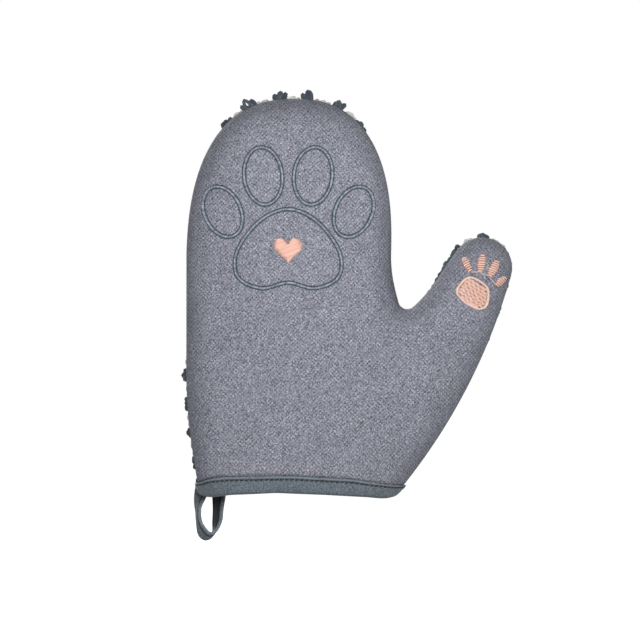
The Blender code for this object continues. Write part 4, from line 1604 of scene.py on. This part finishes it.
@dataclass
class SeamAllowance:
    """The overlocked seam allowance, turned into the pocket."""

    plan: MittPlan
    start: float = 8.0 * MM
    width: float = 5.0 * MM
    top: float = -4.9 * MM
    thickness: float = 1.2 * MM
    lowest: float = 10.5 * MM
    stitch: float = 1.6 * MM
    every: int = 2
    thread: float = 0.28 * MM

    def build(self) -> None:
        """Makes the overlock stitches that wrap the allowance, in two parts."""
        rail = self.plan.seam
        inward = unit(self.plan.inset(self.start) - rail)
        near, far = rail + inward * self.start, rail + inward * (self.start + self.width)
        thumb = self.plan.on_thumb(near)
        above = (near[:, 1] > self.lowest) & (far[:, 1] > self.lowest)
        turn = np.linspace(0, 2 * math.pi, 15)
        y = self.top - self.thickness / 2 + self.thickness / 2 * np.sin(turn)
        solids = {
            Carrier.FINGERS: [f"seam_allowance_{s}" for s in ("wrist_side", "heel", "web", "fingers")],
            Carrier.THUMB: ["seam_allowance_thumb"],
        }
        for carrier, nodes in solids.items():
            strands = Strands()
            for i in range(0, len(rail), self.every):
                if not above[i] or thumb[i] != (carrier is Carrier.THUMB):
                    continue
                slip = np.array((inward[i][1], -inward[i][0])) * self.stitch / 2
                flat = near[i] + (far[i] - near[i]) * (0.5 + 0.5 * np.cos(turn))[:, None]
                flat = flat + np.outer(np.sin(turn), slip)
                strands.add(in_space(flat, y), np.array((slip[0], 0, slip[1])), self.thread)
            label = part_name("seam_overlock", carrier)
            dress(self.plan, label, strands.mesh(label), OVERLOCK, carrier, *nodes)


@dataclass
class CuffBinding:
    """Tape folded over the cuff's edge, with a row of top stitching."""

    plan: MittPlan
    form: BackForm
    cuff: CuffEdge
    stack: float = 5.8 * MM
    ground_high: float = 1.1 * MM
    lining_low: float = -4.4 * MM
    clear: float = 0.1 * MM
    tape: float = 0.85 * MM
    arch_stations: int = 320
    palm_stations: int = 240
    stitch: float = 1.5 * MM
    stitch_gap: float = 0.95 * MM
    stitch_slant: float = 0.45 * MM
    stitch_share: float = 0.81
    stitch_rise: float = 0.75
    stitch_arch: float = 0.3 * MM
    stitch_sink: float = 0.1 * MM
    pucker: float = 0.3
    pucker_reach: float = 0.08
    fold_sag: float = 0.35 * MM
    right_inset: float = 1.25
    lowest: float = 2.0 * MM
    pocket_shares: tuple[float, ...] = (0.97, 0.5, 0.12)
    # span of the tape's height that gets a painted highlight on its upper lip
    painted_highlight_shares: Spot = (0.85, 0.93)
    thread: float = 0.42 * MM
    outer_profile: tuple[Spot, ...] = (
        (1.0, 0.3), (0.99, 0.9), (0.965, 1.5), (0.93, 1.7), (0.89, 1.55), (0.86, 1.15),
        (0.835, 0.75), (0.81, 0.6), (0.785, 0.75), (0.75, 1.1), (0.7, 1.4), (0.6, 1.6),
        (0.44, 1.65), (0.27, 1.5), (0.14, 1.2), (0.06, 0.75),
    )

    def contour(self, way: int, share: float) -> Array:
        """Closed line round the cuff.

        Args:
            way: 1 outside the layers, and -1 in the pocket.
            share: Its height as a share of the tape's.

        Returns:
            Points in space, first over the back from left to right and then back along the palm.
        """
        inset, floor = (0.0, self.ground_high) if way > 0 else (self.stack, self.lining_low)
        over = (1 - np.cos(np.linspace(0, math.pi, self.arch_stations))) / 2
        under = (1 + np.cos(np.linspace(0, math.pi, self.palm_stations + 2)[1:-1])) / 2
        run = np.concatenate([over, under])
        z = self.cuff.height(self.cuff.left + (self.cuff.right - self.cuff.left) * run, share)
        left = self.plan.sides(z[0])[0] + inset
        right = self.plan.sides(z[len(over) - 1])[1] - inset * self.right_inset
        x = left + (right - left) * run
        y = np.full(len(x), floor)
        spots = np.column_stack([x, np.maximum(z, self.lowest)])[: len(over)]
        y[: len(over)] = -self.form.rise(spots, inset)
        y[0] = y[len(over) - 1] = 0
        return np.column_stack([x, y, z])

    def puckers(self, line: Array) -> Array:
        """How far each station is drawn in by the stitches: 1 at a needle hole and 0 between two."""
        place = (run_length(line) + self.stitch_gap / 2) / (self.stitch + self.stitch_gap)
        return 0.5 - 0.5 * np.cos(2 * math.pi * place)

    def outward(self, line: Array) -> Array:
        """Directions away from the middle of a closed line, level with the cuff."""
        run = np.roll(line, -2, axis=0) - np.roll(line, 2, axis=0)
        return unit(np.column_stack([-run[:, 1], run[:, 0], np.zeros(len(line))])) * -1

    def lifted(self, way: int, share: float, lift: Array | float) -> Array:
        """A contour that stands off the layers by a lift."""
        line = self.contour(way, share)
        return line + self.outward(line) * way * np.broadcast_to(lift, len(line))[:, None]

    def fold_tape(self) -> None:
        """Makes the tape of rings: outside, under the edge, up in the pocket and back along the layers."""
        drawn = 1 - self.puckers(self.contour(1, self.stitch_share))
        rings = []
        for share, lift in self.outer_profile:
            near = bell(share - self.stitch_share, self.pucker_reach)
            rings.append(self.lifted(1, share, self.clear + self.tape * (lift - self.pucker * near * drawn)))
        outside, pocket = self.contour(1, 0.0), self.contour(-1, 0.0)
        for t in (0.25, 0.5, 0.75):
            rings.append(outside * (1 - t) + pocket * t - UP * self.fold_sag * math.sin(math.pi * t))
        for share, lift in self.outer_profile[::-1]:
            rings.append(self.lifted(-1, share, self.clear + lift * self.tape))
        rings += [self.lifted(-1, share, self.clear / 2) for share in self.pocket_shares]
        rings += [self.lifted(1, share, self.clear / 2) for share in self.pocket_shares[::-1]]
        faces = tube_faces(len(rings), len(rings[0]), closed=True)
        mesh = make_mesh("cuff_tape", np.vstack(rings), faces.tolist())
        # painted highlight on the tape's upper lip, where light from above catches it
        worn = np.zeros((len(rings), len(rings[0])))
        worn[: len(self.outer_profile)] = ease(np.array(self.outer_profile)[:, :1], *self.painted_highlight_shares)
        mark(mesh, "worn", worn)
        dress(self.plan, "cuff_tape", mesh, TAPE, Carrier.HAND, "cuff_binding")

    def sew(self) -> None:
        """Makes the stitches on both sides of the tape."""
        strands, count = Strands(), 7
        arch = np.sin(np.linspace(0, math.pi, count)) * self.stitch_arch - self.stitch_sink
        for way in (1, -1):
            line = self.lifted(way, self.stitch_share, self.clear + self.stitch_rise * self.tape)
            whole, outward = (np.vstack([v, v[:1]]) for v in (line, self.outward(line) * way))
            run = run_length(whole)
            for start in np.arange(0, run[-1] - self.stitch, self.stitch + self.stitch_gap):
                at = np.linspace(start, start + self.stitch, count)
                spot = along_line(whole, run, at)
                spot[:, 2] += np.linspace(-0.5, 0.5, count) * self.stitch_slant
                strands.add(spot + along_line(outward, run, at) * arch[:, None], UP, self.thread)
        mesh = strands.mesh("cuff_stitches")
        dress(self.plan, "cuff_stitches", mesh, DARK, Carrier.HAND, "binding_stitching")

    def build(self) -> None:
        """Makes the folded tape and its stitches."""
        self.fold_tape()
        self.sew()


@dataclass
class HangingLoop:
    """Loop of folded tape under the cuff's left end, with its two bar tacks."""

    plan: MittPlan
    width: float = 7.6 * MM
    thickness: float = 2.0 * MM
    tab_turn: float = 68.0
    left_turn: float = 14.0
    right_turn: float = 40.0
    bottom_tip: float = 30.0
    # where across the tape its fold lies, and the width of the painted shade along it
    bottom_reach: float = 5.0 * MM
    fold_place: float = -0.45
    fold_shade: float = 0.13
    # strength of the painted highlight along the loop's edges
    worn: float = 0.6
    step: float = 0.6 * MM
    sides: int = 72
    wide_power: float = 0.55
    thick_power: float = 0.6
    hems: tuple[float, ...] = (0.35, 2.0 * MM, 0.5 * MM)
    hollow: Spot = (0.15, 1.4 * MM)
    side_change: Spot = (0.3, 0.7)
    sewn_run: Spot = (-9.0 * MM, 3.0 * MM)
    route: tuple[Place, ...] = (
        (-47.2, 3.9, 7.0), (-47.5, 3.9, 3.0), (-48.6, 2.8, -2.0), (-49.3, 0.0, -7.5),
        (-48.9, -2.6, -13.5), (-47.0, -3.6, -18.6), (-44.2, -2.6, -20.8), (-41.2, -0.8, -18.5),
        (-40.0, 0.9, -13.5), (-39.6, 2.2, -7.5), (-39.3, 3.3, -2.0), (-39.2, 3.9, 3.0), (-39.4, 3.9, 7.0),
    )
    tack_spots: tuple[Spot, ...] = ((-47.5, 3.4), (-39.4, 3.4))
    tack_height: float = 4.6 * MM
    tack_width: float = 2.4 * MM
    tack_crest: float = 5.15 * MM
    tack_arch: float = 0.35 * MM
    tack_slant: float = 0.2 * MM
    tack_rows: int = 13
    thread: float = 0.22 * MM

    def ways(self, line: Array) -> Pair:
        """How the tape turns on its way.

        Args:
            line: Points of its middle line.

        Returns:
            Directions across the tape and out of its face, at each point.
        """
        along = unit(np.gradient(line, axis=0))
        share = ease(np.linspace(0, 1, len(line)), *self.side_change)
        hanging = self.left_turn + (self.right_turn - self.left_turn) * share
        sewn = ease(line[:, 2], *self.sewn_run)
        angle = np.radians(hanging + (self.tab_turn - hanging) * sewn)
        across = np.column_stack([-np.sin(angle), np.cos(angle), np.zeros(len(line))])
        across = unit(across - along * np.sum(across * along, axis=1)[:, None])
        face = np.cross(across, along)
        tip = bell(line[:, 2] - line[:, 2].min(), self.bottom_reach)[:, None] * math.radians(self.bottom_tip)
        return across * np.cos(tip) + face * np.sin(tip), face * np.cos(tip) - across * np.sin(tip)

    def section(self) -> Pair:
        """The tape's section, thinner inside its hems and in the middle.

        Returns:
            Places across and through the tape, round its section.
        """
        u = np.linspace(0, 2 * math.pi, self.sides, endpoint=False)
        wide = np.sign(np.cos(u)) * np.abs(np.cos(u)) ** self.wide_power * self.width / 2
        thick = np.sign(np.sin(u)) * np.abs(np.sin(u)) ** self.thick_power * self.thickness / 2
        amount, place, reach = self.hems
        thick = thick * (1 - amount * bell(np.abs(wide) - place, reach))
        return wide, thick * (1 - self.hollow[0] * bell(wide, self.hollow[1]))

    def ribbon(self) -> None:
        """Makes the loop as one ribbon, with painted shade on its inner face and fold and a painted highlight
        along its edges.
        """
        line = evenly(smooth_through(np.array(self.route) * MM, closed=False), self.step, closed=False)
        (across, face), (wide, thick) = self.ways(line), self.section()
        rings = line[:, None] + wide[None, :, None] * across[:, None] + thick[None, :, None] * face[:, None]
        n, m = len(line), len(wide)
        faces = tube_faces(n, m)[:, [1, 0, 3, 2]].tolist()
        faces += [list(range(m)), list(range((n - 1) * m, n * m))[::-1]]
        mesh = make_mesh("loop_tape", rings.reshape(-1, 3), faces)
        share = wide / (self.width / 2)
        from_fold = share - self.fold_place
        # painted shade on the face turned to the loop's middle and along the fold
        inwards = np.sum((line.mean(axis=0) - line) * face, axis=1)[:, None] * thick[None] / MM**2
        inside = ease(inwards, -0.5, 1.5) * ease(from_fold, -0.1, 0.1) + bell(from_fold, self.fold_shade)
        mark(mesh, "inside", np.clip(inside, 0, 1))
        # painted highlight along the loop's edges
        mark(mesh, "worn", np.broadcast_to(self.worn * ease(np.abs(share), 0.8, 1.0), (n, m)))
        dress(self.plan, "loop_tape", mesh, TAPE, Carrier.LOOP, "hanging_loop")

    def tacks(self) -> None:
        """Makes the two bar tacks of close short stitches."""
        reach = np.linspace(-0.5, 0.5, 7)
        y = self.tack_crest - (2 * reach) ** 2 * self.tack_arch
        for side, (x, z) in zip(("left", "right"), self.tack_spots):
            strands = Strands()
            for row in np.linspace(-0.5, 0.5, self.tack_rows):
                up = z * MM + row * self.tack_height + reach * self.tack_slant
                strands.add(np.column_stack([x * MM + reach * self.tack_width, y, up]), UP, self.thread)
            label = f"bar_tack_{side}"
            dress(self.plan, label, strands.mesh(label), DARK, Carrier.HAND, f"loop_tack_{side}")

    def build(self) -> None:
        """Makes the ribbon and its tacks."""
        self.ribbon()
        self.tacks()


def oval(centre: Spot, half_width: float, half_length: float, lean: float) -> Array:
    """Plan oval.

    Args:
        centre: Its middle.
        half_width: Half its width.
        half_length: Half its length.
        lean: How far it leans from Z to +X, in degrees.

    Returns:
        Points of the oval.
    """
    turn, tilt = np.linspace(0, 2 * math.pi, 120, endpoint=False), math.radians(lean)
    u, v = half_width * np.cos(turn), half_length * np.sin(turn)
    x = centre[0] + u * math.cos(tilt) + v * math.sin(tilt)
    return np.column_stack([x, centre[1] - u * math.sin(tilt) + v * math.cos(tilt)])


def paw_pad() -> Array:
    """Plan outline of a paw's main pad, 46 units wide."""
    half = [(0, 17), (13, 11.5), (23, -2), (22.5, -13.5), (12, -18.5), (0, -16)]
    return smooth_through(np.array(half + [(-x, z) for x, z in reversed(half[1:-1])]))


def heart(centre: Spot, width: float) -> Array:
    """Plan outline of a heart.

    Args:
        centre: Its middle.
        width: Its width.

    Returns:
        Points of the outline.
    """
    a = np.linspace(0, 2 * math.pi, 120, endpoint=False)
    z = 13 * np.cos(a) - 5 * np.cos(2 * a) - 2 * np.cos(3 * a) - np.cos(4 * a)
    return np.column_stack([centre[0] + 16 * np.sin(a) ** 3 * width / 32, centre[1] + z * width / 32])


def plan_axes(degrees: float) -> Array:
    """Directions along an angle from X in plan, and to its left."""
    angle = math.radians(degrees)
    return np.array(((math.cos(angle), math.sin(angle)), (-math.sin(angle), math.cos(angle))))


@dataclass
class Needle:
    """Makes stitches of one thread over the back's cloth."""

    form: BackForm
    thread: float
    seed: int = 23
    count: int = 7
    sink: float = 0.12 * MM
    flat: float = 0.5
    sides: int = 8
    taper: tuple[float, ...] = (0.75, 0.95, 1, 1, 1, 0.95, 0.75)
    uneven: Spot = (0.85, 1.1)
    ragged: float = 0.25 * MM

    def __post_init__(self) -> None:
        """Starts with no stitches."""
        self.rng = np.random.default_rng(self.seed)
        self.stitches: list[tuple[Array, Array, float]] = []

    def stitch(self, start: Array, end: Array, crest: float) -> None:
        """Adds one stitch between two plan points, with its height in the middle."""
        self.stitches.append((start, end, crest))

    def satin_line(self, ring: Array, width: float, gap: float, crest: float, slant: float) -> None:
        """Close slanting stitches across a closed line.

        Args:
            ring: The line in plan.
            width: Its width.
            gap: Distance from one stitch to the next.
            crest: How high the stitches stand.
            slant: How far each runs ahead along the line.
        """
        spots = evenly(ring, gap)
        for spot, ahead, out in zip(spots, *ring_ways(spots)):
            reach = out * width / 2 + ahead * slant / 2
            near, far = self.rng.uniform(0.88, 1.12, 2)
            self.stitch(spot - reach * near, spot + reach * far, crest * self.rng.uniform(*self.uneven))

    def rows(self, ring: Array, turn: float, gap: float) -> list[Pair]:
        """Straight rows that fill an outline.

        Args:
            ring: The outline in plan.
            turn: The rows' direction in degrees from X.
            gap: Distance between rows.

        Returns:
            Both ends of each row.
        """
        axes = plan_axes(turn)
        local = ring @ axes.T
        found = []
        for height in np.arange(local[:, 1].min() + gap / 2, local[:, 1].max(), gap):
            x = crossings(local, height)
            for left, right in zip(x[::2], x[1::2]):
                found.append((np.array((left, height)) @ axes, np.array((right, height)) @ axes))
        return found

    def satin_fill(self, ring: Array, turn: float, gap: float, crest: float) -> None:
        """Close stitches from side to side of an outline, with slightly ragged ends.

        Args:
            ring: The outline in plan.
            turn: The stitches' direction in degrees from X.
            gap: Distance from one to the next.
            crest: How high they stand.
        """
        for start, end in self.rows(ring, turn, gap):
            ahead = unit(end - start)
            near, far = self.rng.uniform(-self.ragged, self.ragged, 2)
            self.stitch(start - ahead * near, end + ahead * far, crest * self.rng.uniform(*self.uneven))

    def mesh(self, name: str) -> Mesh:
        """All stitches as one mesh of arched threads.

        Args:
            name: Its name.

        Returns:
            The mesh.
        """
        t = np.linspace(0, 1, self.count)
        starts, ends, crests = (np.array(v) for v in zip(*self.stitches))
        flat = starts[:, None] + (ends - starts)[:, None] * t[None, :, None]
        arch = (1 - (2 * t - 1) ** 4)[None] * crests[:, None] - self.sink
        line = self.form.place(flat.reshape(-1, 2), arch.reshape(-1)).reshape(-1, self.count, 3)
        strands = Strands(self.sides, flat=self.flat)
        for points, way in zip(line, ends - starts):
            strands.add(points, np.array((-way[1], 0.0, way[0])), self.thread * np.array(self.taper))
        return strands.mesh(name)

    def sew(self, name: str, finish: Finish, carrier: Carrier) -> None:
        """Makes the piece that stands for the stitched solid of a name."""
        dress(self.form.plan, f"{name}_stitches", self.mesh(name), finish, carrier, name)


@dataclass
class FingerFigure:
    """Line figure on the fingers: a paw in outline with a small filled heart."""

    plan: MittPlan
    margin: float = 8.5 * MM
    rise: float = 29.0 * MM
    line: float = 1.05 * MM
    # dark running stitches beside each line, a painted shadow at the needle holes
    edge: float = 0.8 * MM
    edge_stitch: float = 1.05 * MM
    edge_gap: float = 0.45 * MM
    edge_thread: float = 0.16 * MM
    edge_crest: float = 0.16 * MM
    edge_step: float = 0.3 * MM
    gap: float = 0.54 * MM
    crest: float = 0.75 * MM
    slant: float = 0.8 * MM
    thread: float = 0.28 * MM
    toes: tuple[tuple[float, ...], ...] = (
        (-29.5, 16, 8.2, 12, -26), (-11.2, 32, 8.6, 13, -7), (11.2, 32, 8.6, 13, 7), (29.5, 16, 8.2, 12, 26),
    )
    heart_width: float = 13.0
    heart_drop: float = 1.0 * MM
    heart_turn: float = 20.0
    heart_gap: float = 0.44 * MM
    heart_crest: float = 0.85 * MM
    units_wide: float = 78.0
    detail_step: float = 0.9 * MM
    groove_step: float = 0.25 * MM
    beside: tuple[float, ...] = (-2.2, -1.5, -1.1, -0.8, -0.4, 0.0, 0.4, 0.8, 1.1, 1.5, 2.2)

    def __post_init__(self) -> None:
        """Lays the figure out in plan."""
        self.scale = (self.plan.palm_width - 2 * self.margin) / self.units_wide
        self.middle = np.array((self.plan.palm_shift, self.plan.fold[1] + self.rise))
        self.rings = {"motif_pad_outline": self.middle + paw_pad() * self.scale}
        for number, (x, z, half_width, half_length, lean) in enumerate(self.toes, 1):
            spot = self.middle + np.array((x, z)) * self.scale
            ring = oval(spot, half_width * self.scale, half_length * self.scale, lean)
            self.rings[f"motif_toe_outline_{number}"] = ring

    def grooves(self) -> Array:
        """Close plan points along the figure's lines."""
        return np.vstack([evenly(ring, self.groove_step) for ring in self.rings.values()])

    def detail(self) -> Array:
        """Plan points beside the lines, where the cloth is drawn in.

        Returns:
            The points, one a row.
        """
        found = []
        for ring in self.rings.values():
            spots = evenly(ring, self.detail_step)
            side = ring_ways(spots)[1]
            found += [spots + side * off * MM for off in self.beside]
        return np.vstack(found)

    def sew_shadow_beside(self, needle: Needle, ring: Array, aside: float) -> None:
        """Flat dark running stitches beside a closed line, a painted shadow at its needle holes.

        Args:
            needle: The needle that makes them.
            ring: The line in plan.
            aside: How far beside it they run.
        """
        spots = evenly(ring, self.edge_step)
        line = evenly(spots + ring_ways(spots)[1] * aside, self.edge_stitch + self.edge_gap)
        for spot, way in zip(line, unit(np.roll(line, -1, axis=0) - line)):
            needle.stitch(spot, spot + way * self.edge_stitch, self.edge_crest)

    def build(self, form: BackForm) -> None:
        """Stitches the lines, the painted shadow beside them and the heart.

        Args:
            form: The back's shape.
        """
        for name, ring in self.rings.items():
            needle = Needle(form, self.thread)
            needle.satin_line(ring, self.line, self.gap, self.crest, self.slant)
            needle.sew(name, BLUE, Carrier.FINGERS)
        # painted shadow beside each line, as dark running stitches
        edge = Needle(form, self.edge_thread)
        for ring in self.rings.values():
            for aside in (-self.edge, self.edge):
                self.sew_shadow_beside(edge, ring, aside)
        dress(self.plan, "motif_edge_stitches", edge.mesh("motif_edges"), DARK, Carrier.FINGERS)
        needle = Needle(form, self.thread)
        ring = heart(self.middle - (0, self.heart_drop), self.heart_width * self.scale)
        needle.satin_fill(ring, self.heart_turn, self.heart_gap, self.heart_crest)
        needle.sew("motif_heart", CORAL, Carrier.FINGERS)


@dataclass
class ThumbPaw:
    """Filled paw print on the thumb: a stepped pad with a satin rim, and four satin toes."""

    plan: MittPlan
    tilt: float = 33.0
    rim: float = 1.15 * MM
    rim_inset: float = 0.55 * MM
    gap: float = 1.05 * MM
    pitch: float = 1.5 * MM
    apart: float = 0.7 * MM
    step: float = 2.8 * MM
    # the dark marks between the pad's rows, a painted shadow
    dash: float = 1.5 * MM
    dash_gap: float = 1.0 * MM
    dash_shares: Spot = (0.6, 1.1)
    dash_shift: float = 0.3
    row_step: float = 0.37
    overlap: float = 1.06
    shortest: float = 0.25
    thread: float = 0.27 * MM
    fill_thread: float = 0.36 * MM
    toe_thread: float = 0.42 * MM
    dash_thread: float = 0.24 * MM
    jump_thread: float = 0.16 * MM
    pad_crest: float = 0.7 * MM
    dash_crest: float = 0.72 * MM
    rim_crest: float = 0.85 * MM
    rim_gap: float = 0.44 * MM
    rim_slant: float = 0.5 * MM
    toe_crest: float = 0.95 * MM
    toe_turn: float = 12.0
    low_crest: float = 0.3 * MM
    pad: tuple[Spot, ...] = (
        (-7.9, -4.9), (-4.5, -5.3), (-1.1, -7.3), (1.8, -9.9), (2.4, -12.9), (2, -17.4), (0.5, -20),
        (-3, -20.95), (-6.4, -19.6), (-10.1, -17.4), (-12.9, -14.4), (-13.9, -12.2), (-13.1, -9.9),
        (-10.85, -7),
    )
    toes: tuple[tuple[float, ...], ...] = (
        (-8.2, 1.1, 1.85, 3.8, -21.5), (-1.4, 1.6, 2.1, 4.3, 12), (4.5, -0.8, 2.2, 4.4, 30),
        (8.4, -7, 1.8, 3.3, 51),
    )

    def outline(self) -> Array:
        """The pad's outline in plan."""
        return self.plan.thumb_centre + smooth_through(np.array(self.pad) * MM)

    def drawn_in(self, ring: Array, amount: float) -> Array:
        """An outline that runs clockwise, moved inwards."""
        return ring - ring_ways(ring)[1] * amount

    def fill_pad(self, needle: Needle, ring: Array) -> None:
        """Paired rows of short stitches that run into each other, each row stepped against the last.

        Args:
            needle: The needle that makes them.
            ring: The outline in plan.
        """
        aside = plan_axes(-self.tilt)[1] * self.apart / 2
        rows = needle.rows(ring, -self.tilt, self.pitch)
        pairs = [(a + way, b + way) for a, b in rows for way in (-aside, aside)]
        for number, (start, end) in enumerate(pairs):
            whole = float(np.linalg.norm(end - start))
            ahead = (end - start) / whole
            for low in np.arange(-self.step * (number * self.row_step % 1), whole, self.step):
                a, b = max(low, 0.0), min(low + self.step * self.overlap, whole)
                if b - a > self.shortest * self.step:
                    needle.stitch(start + ahead * a, start + ahead * b, self.pad_crest)

    def mark_shadow_gaps(self, needle: Needle, ring: Array) -> None:
        """Short dark marks along rows between those of the fill, a painted shadow in the gaps between the
        rows.

        Args:
            needle: The needle that makes them.
            ring: The outline in plan.
        """
        beside = plan_axes(-self.tilt)[1] * self.pitch / 2
        for start, end in needle.rows(ring, -self.tilt, self.pitch):
            whole = float(np.linalg.norm(end - start))
            ahead = (end - start) / whole
            first = needle.rng.uniform(0, self.dash_gap)
            for low in np.arange(first, whole - self.dash, self.dash + self.dash_gap):
                low += needle.rng.uniform(-self.dash_shift, self.dash_shift) * self.dash_gap
                high = low + self.dash * needle.rng.uniform(*self.dash_shares)
                needle.stitch(start + beside + ahead * low, start + beside + ahead * high, self.dash_crest)

    def toe_ring(self, x: float, z: float, half_width: float, half_length: float, lean: float) -> Array:
        """Plan outline of one toe, from its row among the toes."""
        return oval(self.plan.thumb_centre + np.array((x, z)) * MM, half_width * MM, half_length * MM, lean)

    def sew_shadow_underlay(self, form: BackForm) -> None:
        """Stitches the dark marks between the pad's rows, a painted shadow, and the dark underlay under the
        toes, partly real underlay and partly painted shadow in their gaps.

        Args:
            form: The back's shape.
        """
        needle = Needle(form, self.dash_thread)
        self.mark_shadow_gaps(needle, self.drawn_in(self.outline(), self.rim))
        for toe in self.toes:
            needle.satin_fill(self.toe_ring(*toe), 90 - toe[-1], 2 * self.dash_thread, self.low_crest)
        dress(self.plan, "thumb_paw_underlay", needle.mesh("thumb_paw_underlay"), SHADOW_UNDERLAY, Carrier.THUMB)

    def sew_pad(self, form: BackForm) -> None:
        """Stitches the pad and its rim.

        Args:
            form: The back's shape.
        """
        pad = self.outline()
        needle = Needle(form, self.fill_thread)
        self.fill_pad(needle, self.drawn_in(pad, self.rim))
        needle.sew("thumb_paw_pad", PAW_CORAL, Carrier.THUMB)
        rim = Needle(form, self.thread)
        line = self.drawn_in(pad, self.rim_inset)
        rim.satin_line(line, self.rim, self.rim_gap, self.rim_crest, self.rim_slant)
        dress(self.plan, "thumb_paw_pad_rim", rim.mesh("thumb_paw_pad_rim"), PALE_CORAL, Carrier.THUMB)

    def sew_toes(self, form: BackForm) -> None:
        """Stitches the toes and the threads from toe to toe.

        Args:
            form: The back's shape.
        """
        jumps, last = Needle(form, self.jump_thread), None
        for number, toe in enumerate(self.toes, 1):
            x, z, _, half_length, lean = toe
            needle = Needle(form, self.toe_thread)
            needle.satin_fill(self.toe_ring(*toe), self.toe_turn - lean, self.gap, self.toe_crest)
            needle.sew(f"thumb_paw_toe_{number}", PAW_CORAL, Carrier.THUMB)
            foot = self.plan.thumb_centre + np.array((x, z)) * MM - aim(-lean) * half_length * MM
            if last is not None:
                jumps.stitch(last, foot, self.low_crest)
            last = foot
        dress(self.plan, "thumb_paw_jumps", jumps.mesh("thumb_paw_jumps"), PAW_CORAL, Carrier.THUMB)

    def build(self, form: BackForm) -> None:
        """Stitches the underlay with its painted shadow, the pad and the toes.

        Args:
            form: The back's shape.
        """
        self.sew_shadow_underlay(form)
        self.sew_pad(form)
        self.sew_toes(form)


@dataclass(frozen=True)
class Lamp:
    """A square soft light that faces the mitt."""

    name: str
    place: Place
    size: float
    power: float


@dataclass
class Studio:
    """Camera, soft light, white world and floor."""

    lens: float = 135.0
    sensor: float = 36.0
    view_width: float = 316.8 * MM
    aim: Place = (10.9 * MM, 0.0, 86.1 * MM)
    floor_drop: float = 100.0 * MM
    floor_size: float = 6.0
    floor_tone: float = 0.35
    floor_glow: float = 0.96
    ambient: float = 0.05
    lamps: tuple[Lamp, ...] = (
        Lamp("key light", (0.0, -0.45, 0.185), 0.2, 1.75),
        Lamp("right light", (0.6, -0.04, 0.09), 0.4, 0.8),
        Lamp("left light", (-0.6, -0.04, 0.09), 0.4, 0.15),
        Lamp("back light", (-0.3, 1.2, 0.6), 0.7, 14.0),
    )

    def camera(self) -> None:
        """Looks straight at the back of the hand."""
        data = bpy.data.cameras.new("camera")
        data.lens, data.sensor_width = self.lens, self.sensor
        camera = new_object("camera", data)
        distance = self.view_width * self.lens / self.sensor
        camera.location = Vector(self.aim) - Vector((0, distance, 0))
        camera.rotation_euler = (math.radians(90), 0, 0)
        bpy.context.scene.camera = camera

    def light(self, lamp: Lamp) -> None:
        """Hangs up one lamp.

        Args:
            lamp: The lamp.
        """
        data = bpy.data.lights.new(lamp.name, "AREA")
        data.size, data.energy = lamp.size, lamp.power
        obj = new_object(lamp.name, data)
        obj.location = lamp.place
        obj.visible_camera = False
        obj.rotation_euler = (Vector(self.aim) - Vector(lamp.place)).to_track_quat("-Z", "Y").to_euler()

    def world(self) -> None:
        """White where it is seen, and a soft even light elsewhere."""
        graph = Graph(bpy.data.worlds.new("studio"))
        bpy.context.scene.world = graph.made
        background = graph.tree.nodes["Background"].inputs
        background["Color"].default_value = (1, 1, 1, 1)
        span = {"Value": graph.seen_directly(), "To Min": self.ambient, "To Max": 1.0}
        graph.feed(background["Strength"], graph.add("MapRange", span).outputs[0])

    def floor_material(self) -> bpy.types.Material:
        """White where it is seen from above, with a faint shadow, and clear from below.

        Returns:
            The material.
        """
        graph = Graph(bpy.data.materials.new("pale floor"))
        shader = graph.tree.nodes["Principled BSDF"]
        look = {
            "Base Color": (self.floor_tone, self.floor_tone, self.floor_tone, 1),
            "Roughness": 1.0,
            "Emission Color": (1, 1, 1, 1),
            "Emission Strength": graph.math("MULTIPLY", graph.seen_directly(), self.floor_glow),
        }
        for name, value in look.items():
            graph.feed(shader.inputs[name], value)
        below = graph.add("NewGeometry").outputs["Backfacing"]
        clear = graph.add("BsdfTransparent").outputs[0]
        mix = graph.add("MixShader", {0: below, 1: shader.outputs[0], 2: clear})
        graph.feed(graph.tree.nodes["Material Output"].inputs["Surface"], mix.outputs[0])
        return graph.made

    def floor(self) -> None:
        """Pale floor under the mitt."""
        size, z = self.floor_size, cad_low.z - self.floor_drop
        corners = np.array([(-size, -size, z), (size, -size, z), (size, size, z), (-size, size, z)])
        mesh = make_mesh("floor", corners, [[0, 1, 2, 3]])
        mesh.materials.append(self.floor_material())
        floor = new_object("floor", mesh)

    def build(self) -> None:
        """Sets up the view and the light."""
        bpy.context.scene.view_settings.view_transform = "Standard"
        self.camera()
        for lamp in self.lamps:
            self.light(lamp)
        self.world()
        self.floor()


def main() -> None:
    """Builds the mitt's pieces in order, and the studio."""
    logging.basicConfig(level=logging.INFO, format="%(message)s")
    Studio().build()
    plan = MittPlan()
    grid = PlanGrid(plan)
    figure = FingerFigure(plan)
    back = BackForm(plan, grid, figure.grooves())
    cuff = CuffEdge()
    PaddingSwell(plan, back, cuff).run()
    BackPanel(plan, back, cuff, figure.detail()).build()
    PalmPanel(plan, PalmForm(plan, grid), cuff).build()
    SeamAllowance(plan).build()
    CuffBinding(plan, back, cuff).build()
    HangingLoop(plan).build()
    figure.build(back)
    ThumbPaw(plan).build(back)


if __name__ == "__main__":
    main()
